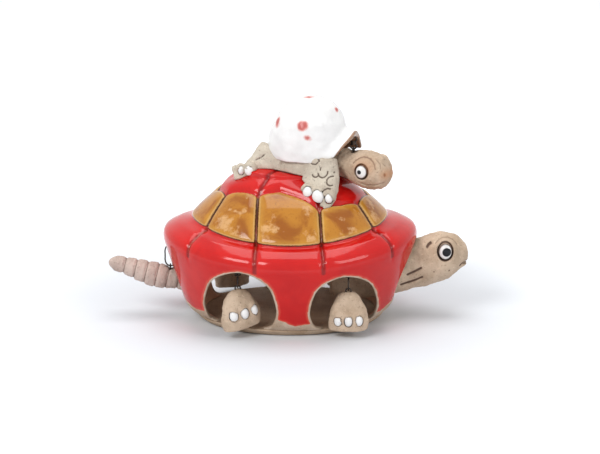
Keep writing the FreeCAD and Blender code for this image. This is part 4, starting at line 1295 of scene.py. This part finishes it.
def dome_rows(inset):
    """Sections of the young turtle's shell, an inset inside its outside."""
    rows = []
    for up, wide in DOME_RINGS:
        back = DOME_BACK * max(0.0, 1 - up / 0.6)
        radius = wide * (DOME_RADIUS - inset)
        rows.append((BODY_TOP + up * (DOME_HEIGHT - inset), -back, 0.0, radius + back, radius))
    return rows


def hood_field(local, radius):
    """A bar along the young turtle's neck."""
    return np.hypot(local[1], local[2] - HOOD_HEIGHT) - radius


def pocket_field(local):
    """The room for the neck, open ahead and below."""
    inner = HOOD_RADIUS - HOOD_WALL
    bore = hood_field(local, inner)
    lower = np.maximum(np.abs(local[1]) - inner, local[2] - HOOD_HEIGHT)
    return smooth_meet(np.minimum(bore, lower), POCKET_START - local[0], 1.0)


def hood_mouth(local):
    """Distance ahead of the hood's slanting mouth."""
    x, y, z = local
    angle = math.radians(HOOD_SLOPE) * np.clip(0.45 - y / 15.0, 0.0, 1.0)
    top = HOOD_HEIGHT + HOOD_RADIUS - 1.0
    return (x - HOOD_REACH) * np.cos(angle) - (z - top) * np.sin(angle)


def hood_shape(local):
    """The hood over the neck, its mouth cut aslant to a peak, still solid inside."""
    bar = np.maximum(hood_field(local, HOOD_RADIUS - 0.4), -local[0])
    return smooth_meet(bar, hood_mouth(local), 1.0)


def dome_field(place):
    """The young turtle's lumpy white shell with the hood over its neck."""
    local = young_frame(place)
    x, y, z = local
    low = BODY_TOP - DOME_APRON
    low_radius = DOME_RADIUS * 0.92
    low_row = (low, -DOME_BACK, 0.0, low_radius + DOME_BACK, low_radius)
    dome = stack(z, x, y, [low_row] + dome_rows(0.0), 0.95)
    dome = smooth_join(dome, hood_shape(local), 2.6)
    dome = dome + 0.30 * ripple(place, 13.0, 52) + 0.10 * ripple(place, 6.0, 53)
    room_row = (BODY_TOP - 4.0, 0.0, 0.0, DOME_ROOM_RADIUS, DOME_ROOM_RADIUS)
    room = stack(z, x, y, [room_row] + dome_rows(DOME_WALL), 0.95)
    dome = smooth_cut(dome, np.minimum(room, pocket_field(local)), 0.5)
    foot = low + 3.2 * np.clip((x - 9.0) / 6.0, 0.0, 1.0)
    return smooth_meet(dome, foot - z, 0.9)


def hood_clay_and_shade(place):
    """Where the inside of the hood shows bare clay, darkened to brown as painted shade."""
    local = young_frame(place)
    return np.maximum(0.75 - pocket_field(local), hood_mouth(local) + 0.7) * 1.2


# How far a spot can reach, and the share of a step outward that counts as a step down
SPOT_REACH = 9
SHELL_LEAN = 0.7

# Soft red spots of the white shell: middle, half width, half height and lean
SPOTS = (
    ((-4.9, -6.9, 90.2), 1.7, 2.7, -22),
    ((5.8, -15.7, 90.0), 2.4, 2.6, 0),
    ((7.8, -17.1, 85.1), 1.5, 0.9, 20),
    ((19.6, -5.0, 94.9), 1.6, 1.2, -25),
    ((8.5, -3.8, 100.6), 1.8, 1.0, 0),
    ((1.5, 11.8, 91.5), 2.3, 2.6, 10),
    ((-5.6, 5.5, 85.0), 1.5, 2.4, 15),
    ((15.5, 12.5, 87.5), 1.9, 1.4, -30),
    ((21.5, 3.5, 92.0), 1.5, 2.3, 0),
)


def spot_mark(place):
    """How deep inside a spot a point lies."""
    best = np.full(np.shape(place[0]), -5.0)
    for centre, wide, tall, lean in SPOTS:
        ahead, left, up = [place[axis] - centre[axis] for axis in range(3)]
        way = math.degrees(math.atan2(centre[1] - YOUNG_PLACE[1], centre[0] - YOUNG_PLACE[0]))
        outward, across = rotated(ahead, left, way)
        u, v = rotated(across, up - outward * SHELL_LEAN, -lean)
        inside = (1 - np.sqrt((u / wide) ** 2 + (v / tall) ** 2)) * min(wide, tall)
        near = np.sqrt(ahead ** 2 + left ** 2 + up ** 2) < SPOT_REACH
        best = np.where(near, np.maximum(best, inside), best)
    return best


# Sections of a front leg from below up, and of a hind leg from its root back
FRONT_LEG_ROWS = [
    (BODY_TOP - FRONT_LEG_LENGTH * down, FRONT_LEG_AHEAD,
     FRONT_LEG_ASIDE[0] + FRONT_LEG_ASIDE[1] * (1 - inward),
     wide * FRONT_LEG_HALF[0], deep * FRONT_LEG_HALF[1])
    for down, wide, deep, inward in FRONT_LEG_RINGS[::-1]
]
HIND_LEG_ROWS = [
    (back * HIND_LEG_LENGTH, HIND_LEG_ASIDE[0] + out * HIND_LEG_ASIDE[1],
     BODY_LOW + (low + high) / 2 * HIND_LEG_HEIGHT, wide * HIND_LEG_HALF, (high - low) / 2 * HIND_LEG_HEIGHT)
    for back, low, high, wide, out in HIND_LEG_RINGS
]

# Curls scored in the front leg, in its own plane of X and Z
LEG_CURLS = (
    [(4.2, 74.6), (5.4, 73.4), (7.4, 73.4), (8.8, 74.9), (7.8, 76.2)],
    arc((7.4, 69.4), 1.5, 200, 350, 5) + arc((10.6, 70.0), 2.1, 190, 380, 7),
    [(9.6, 72.4), (9.4, 71.0)],
    arc((14.6, 66.6), 1.9, 75, 290, 7),
    arc((13.8, 61.9), 1.8, 60, 260, 6),
)
LEG_DOT = (15.2, 70.0)
KNEE_CREASE = ((-20.6, 73.4), (-18.6, 74.4), (-17.2, 75.6))

# Claws of the young turtle on one side, in its own frame: place, turn and half sizes
FRONT_CLAWS = (
    ((5.3, 20.4, 62.0), 170.0, (2.1, 2.0, 2.6)),
    ((10.1, 20.6, 60.4), 180.0, (2.6, 2.1, 3.1)),
    ((14.8, 19.3, 59.7), 200.0, (1.7, 1.8, 2.1)),
)
HIND_CLAWS = (
    ((-22.6, 17.4, 69.3), 170.0, (2.1, 1.4, 2.4)),
    ((-26.6, 16.8, 68.8), 150.0, (1.4, 1.2, 1.9)),
    ((-28.8, 14.4, 67.8), 110.0, (1.0, 1.1, 1.4)),
)


def leg_ink(place):
    """Strength of the curls on the front leg and of the knee's crease, which are cut in and darkened with
    painted shade.
    """
    x, y, z = young_frame(place)
    return (np.abs(y) > 9.5) * np.maximum.reduce([
        score(lines_gap(x, z, LEG_CURLS), 0.36),
        score(np.hypot(x - LEG_DOT[0], z - LEG_DOT[1]), 0.5),
        score(line_gap(x, z, KNEE_CREASE), 0.35) * 0.9,
    ])


def young_body_field(place):
    """The young turtle's body and legs, seated on the mother's shell."""
    local = young_frame(place)
    x, y, z = local
    mirrored = (x, np.abs(y), z)
    body = egg(local, YOUNG_BODY_MIDDLE, YOUNG_BODY_SIZE)
    body = smooth_join(body, stack(z, x, mirrored[1], FRONT_LEG_ROWS), 1.8)
    flatter = z + 0.9 * np.maximum(z - 71.0, 0) * np.clip(y / 8.0, 0, 1)
    body = smooth_join(body, stack(-x - 10.0, mirrored[1], flatter, HIND_LEG_ROWS, 0.8), 2.2)
    for root, fan, radii in FRONT_CLAWS + HIND_CLAWS:
        own = turned(mirrored, root, fan)
        body = smooth_join(body, egg(own, (0, 1.3, 0.4), grown(radii, 0.8)), 1.0)
        body = smooth_cut(body, egg(own, (0, 0, 0), grown(radii, 0.12)), 0.25)
    body = smooth_cut(body, stack(z, x, y, dome_rows(0.0), 0.95) - 0.05, 0.6)
    body = smooth_cut(body, pocket_field(local), 0.8)
    body = body + 0.42 * leg_ink(place) + 0.22 * ripple(place, 8.0, 61) + 0.07 * ripple(place, 2.2, 62)
    return smooth_cut(body, crown_field(place), 0.4)


def young_claw_field(place, claws, sign):
    """One leg's three claws, seated on the mother's shell."""
    x, y, z = young_frame(place)
    return smooth_cut(claw_gap((x, y * sign, z), claws), crown_field(place), 0.2)


YOUNG_HEAD_ROWS = head_rows(YOUNG_HEAD_RINGS, YOUNG_HEAD_LENGTH, YOUNG_HEAD_LOW, YOUNG_HEAD_HEIGHT,
                            YOUNG_HEAD_WIDTH, YOUNG_HEAD_TIP)
YOUNG_EYE = (26.2, 8.3, 70.1)
YOUNG_EYE_SIZE = (2.5, 1.7, 2.9)
YOUNG_PUPIL = (25.6, 70.1, 0.95)
YOUNG_LUMPS = (
    ((26.4, 6.2, 70.4), (4.6, 2.8, 4.6), 1.4),
    ((33.2, 2.8, 74.0), (2.2, 2.2, 2.0), 1.0),
)
YOUNG_LIDS = arc((26.8, 70.6), 5.4, 8, 150)
YOUNG_MOUTH = ((24.6, 65.0), (28.0, 63.8), (32.0, 64.0), (35.6, 65.2))
YOUNG_FOLDS = (
    ((32.0, 75.0), (34.0, 73.4), (34.4, 71.4)),
    ((35.0, 73.6), (36.0, 72.4)),
)


def young_head_ink(place):
    """Strength of the young head's eye edges, lids, mouth, nostrils and folds, which are cut in and darkened
    with painted shade.
    """
    x, y, z = young_frame(place)
    side = np.abs(y)
    ring = eye_ratio(x, z, YOUNG_EYE, YOUNG_EYE_SIZE) - EYE_RING
    nostril = np.hypot((x - 36.0) / 0.5, (z - 68.6) / 1.1) + 9.0 * (side < 1.2)
    return np.maximum.reduce([
        score(ring * 2.6, 0.5) * (side > 5),
        score(line_gap(x, z, YOUNG_LIDS), 0.42) * 0.6 * (side > 4),
        score(line_gap(x, z, YOUNG_MOUTH), 0.38) * 0.55,
        score(nostril, 1.0) * 0.9,
        score(lines_gap(x, z, YOUNG_FOLDS), 0.35) * 0.5 * (side > 2),
    ])


def young_head_field(place):
    """The young turtle's head and neck."""
    x, y, z = young_frame(place)
    mirrored = (x, np.abs(y), z)
    head = with_lumps(stack(x, y, z, YOUNG_HEAD_ROWS), mirrored, YOUNG_LUMPS)
    head = smooth_cut(head, egg(mirrored, YOUNG_EYE, grown(YOUNG_EYE_SIZE, 0.4)), 0.4)
    head = head + 0.45 * young_head_ink(place)
    head = head + 0.22 * ripple(place, 6.0, 71) + 0.08 * ripple(place, 2.0, 72)
    return smooth_cut(head, wire_pocket((x, y, z), *YOUNG_POCKET), 0.3)


def young_turtle():
    """All fixed pieces of the young turtle, and its head."""
    form("young_clay_body", young_body_field, (-38, -36, 50), (42, 36, 92), 0.5, GREY_CLAY, "body",
         "young_body", clay_marks(leg_ink, young_blush))
    form("young_white_shell", dome_field, (-12, -24, 71), (38, 20, 105), 0.45, WHITE_GLAZE, "body",
         "young_shell", white_marks(spot_mark, hood_clay_and_shade))
    for leg, claws in (("front", FRONT_CLAWS), ("hind", HIND_CLAWS)):
        for side, sign in SIDES:
            node_name = "young_claws_" + leg + "_" + side
            low, high = node_box(node_name)
            form("glazed_" + node_name, lambda place: young_claw_field(place, claws, sign), low - 8, high + 8,
                 0.3, WHITE_GLAZE, "body", node_name, white_marks())
    low, high = node_box("young_head")
    form("young_clay_head", young_head_field, low - 2.5, high + 2.5, 0.36, PALE_CLAY, "young_head",
         "young_head", clay_marks(young_head_ink, young_head_blush))
    eyeballs("young_glazed_eye_", "young_eyeball_", "young_head", YOUNG_EYE, YOUNG_EYE_SIZE, YOUNG_PUPIL, 5,
             0.22, young_frame, on_young)


def young_head_blush(place):
    """Warm tint round the eyes and at the nose."""
    x, y, z = young_frame(place)
    eye = np.hypot((x - 27.0) / 5.6, (z - 71.6) / 4.6) + 9.0 * (np.abs(y) < 3)
    nose = np.hypot(x - 37.0, z - 68.6) / 3.2
    return -0.6 * np.maximum(score(eye, 0.9), score(nose, 1.0))


def young_blush(place):
    """Painted shade, dark brown, inside the pocket for the neck."""
    return np.clip((0.5 - pocket_field(young_frame(place))) / 0.6, 0, 1)


# Everything together

mother_shell()
form("clay_slab", slab_field, (-46, -39, -1), (46, 39, 5), 0.6, BARE_CLAY, "body", "slab",
     clay_marks())
for number, foot in enumerate(FEET):
    hung_foot(foot, 11 + 7 * number)
# The head's scored lines, dots, eye edges, brow and mouth are darkened with painted shade
form("clay_head", head_field, (16, -14, 5), (83, 14, 41.5), 0.42, PALE_CLAY, "head", "head",
     clay_marks(head_ink))
eyeballs("glazed_eye_", "head_eyeball_", "head", HEAD_EYE, HEAD_EYE_SIZE, HEAD_PUPIL, 6, 0.25)
form("clay_tail", tail_field, (-86, -9, 5), (-33, 9, 31), 0.32, ROSY_CLAY, "tail", "tail",
     clay_marks(tail_ink))
young_turtle()

LEFT = np.array((0.0, 1.0, 0.0))
AHEAD = np.array((1.0, 0.0, 0.0))
YOUNG_LEFT = on_young(LEFT) - on_young((0, 0, 0))
YOUNG_AHEAD = on_young(AHEAD) - on_young((0, 0, 0))
for foot in FEET:
    link_wire("wire_loop_" + foot, foot, LEFT, 2.4, 0.3)
    eye_wire("wire_eye_" + foot, "eye_" + foot, "foot_" + foot, AHEAD)
link_wire("wire_loop_head", "head", AHEAD, 1.7, 1.0)
link_wire("wire_loop_tail", "tail", AHEAD, 4.2, 1.0, 0.55)
link_wire("wire_loop_young", "young_head", YOUNG_AHEAD, 1.5, 0.3, 1.0, 3.4)
eye_wire("wire_eye_head", "eye_head", "head", LEFT)
eye_wire("wire_eye_tail", "eye_tail", "tail", LEFT)
eye_wire("wire_eye_young", "eye_young_head", "young_head", YOUNG_LEFT)

for entry in frame["nodes"].values():
    if entry.name.startswith("lug_"):
        entry.data.materials.clear()
        entry.data.materials.append(BARE_CLAY)


# Camera, light and floor

def add_camera():
    """The camera at the photograph's angle."""
    data = bpy.data.cameras.new("camera")
    data.lens = CAMERA_LENS
    camera = bpy.data.objects.new("camera", data)
    angle = math.radians(CAMERA_ELEVATION)
    target = Vector(CAMERA_TARGET)
    camera.location = target + CAMERA_DISTANCE * Vector((0, -math.cos(angle), math.sin(angle)))
    camera.rotation_euler = (math.pi / 2 - angle, 0, 0)
    bpy.context.scene.collection.objects.link(camera)
    bpy.context.scene.camera = camera


def add_light(name, place, size, power):
    """A soft box that shines at the part."""
    data = bpy.data.lights.new(name, "AREA")
    data.shape = "RECTANGLE"
    data.size, data.size_y = size
    data.energy = power
    light = bpy.data.objects.new(name, data)
    light.location = place
    light.rotation_euler = (Vector(LIT_PLACE) - Vector(place)).to_track_quat("-Z", "Y").to_euler()
    bpy.context.scene.collection.objects.link(light)


def add_floor():
    """The plain floor under the part."""
    corners = [(x * FLOOR_HALF, y * FLOOR_HALF, 0) for x, y in ((-1, -1), (1, -1), (1, 1), (-1, 1))]
    mesh = bpy.data.meshes.new("floor")
    mesh.from_pydata(corners, [], [(0, 1, 2, 3)])
    mesh.materials.append(new_material("floor", pale_floor))
    floor = bpy.data.objects.new("floor", mesh)
    floor.location = (0, 0, -FLOOR_DROP)
    bpy.context.scene.collection.objects.link(floor)


def add_world():
    """Plain white surroundings, dimmer as a light than as a background."""
    world = bpy.data.worlds.new("studio")
    world.use_nodes = True
    tree = Shading(world.node_tree)
    background = world.node_tree.nodes["Background"].inputs
    tree.feed(background["Color"], (1.0, 1.0, 1.0))
    tree.feed(background["Strength"], tree.between(tree.white_share(), 0.44, 1.0))
    bpy.context.scene.world = world


add_camera()
for light, settings in LIGHTS.items():
    add_light(light, *settings)
add_floor()
add_world()
bpy.context.scene.view_settings.view_transform = "Standard"
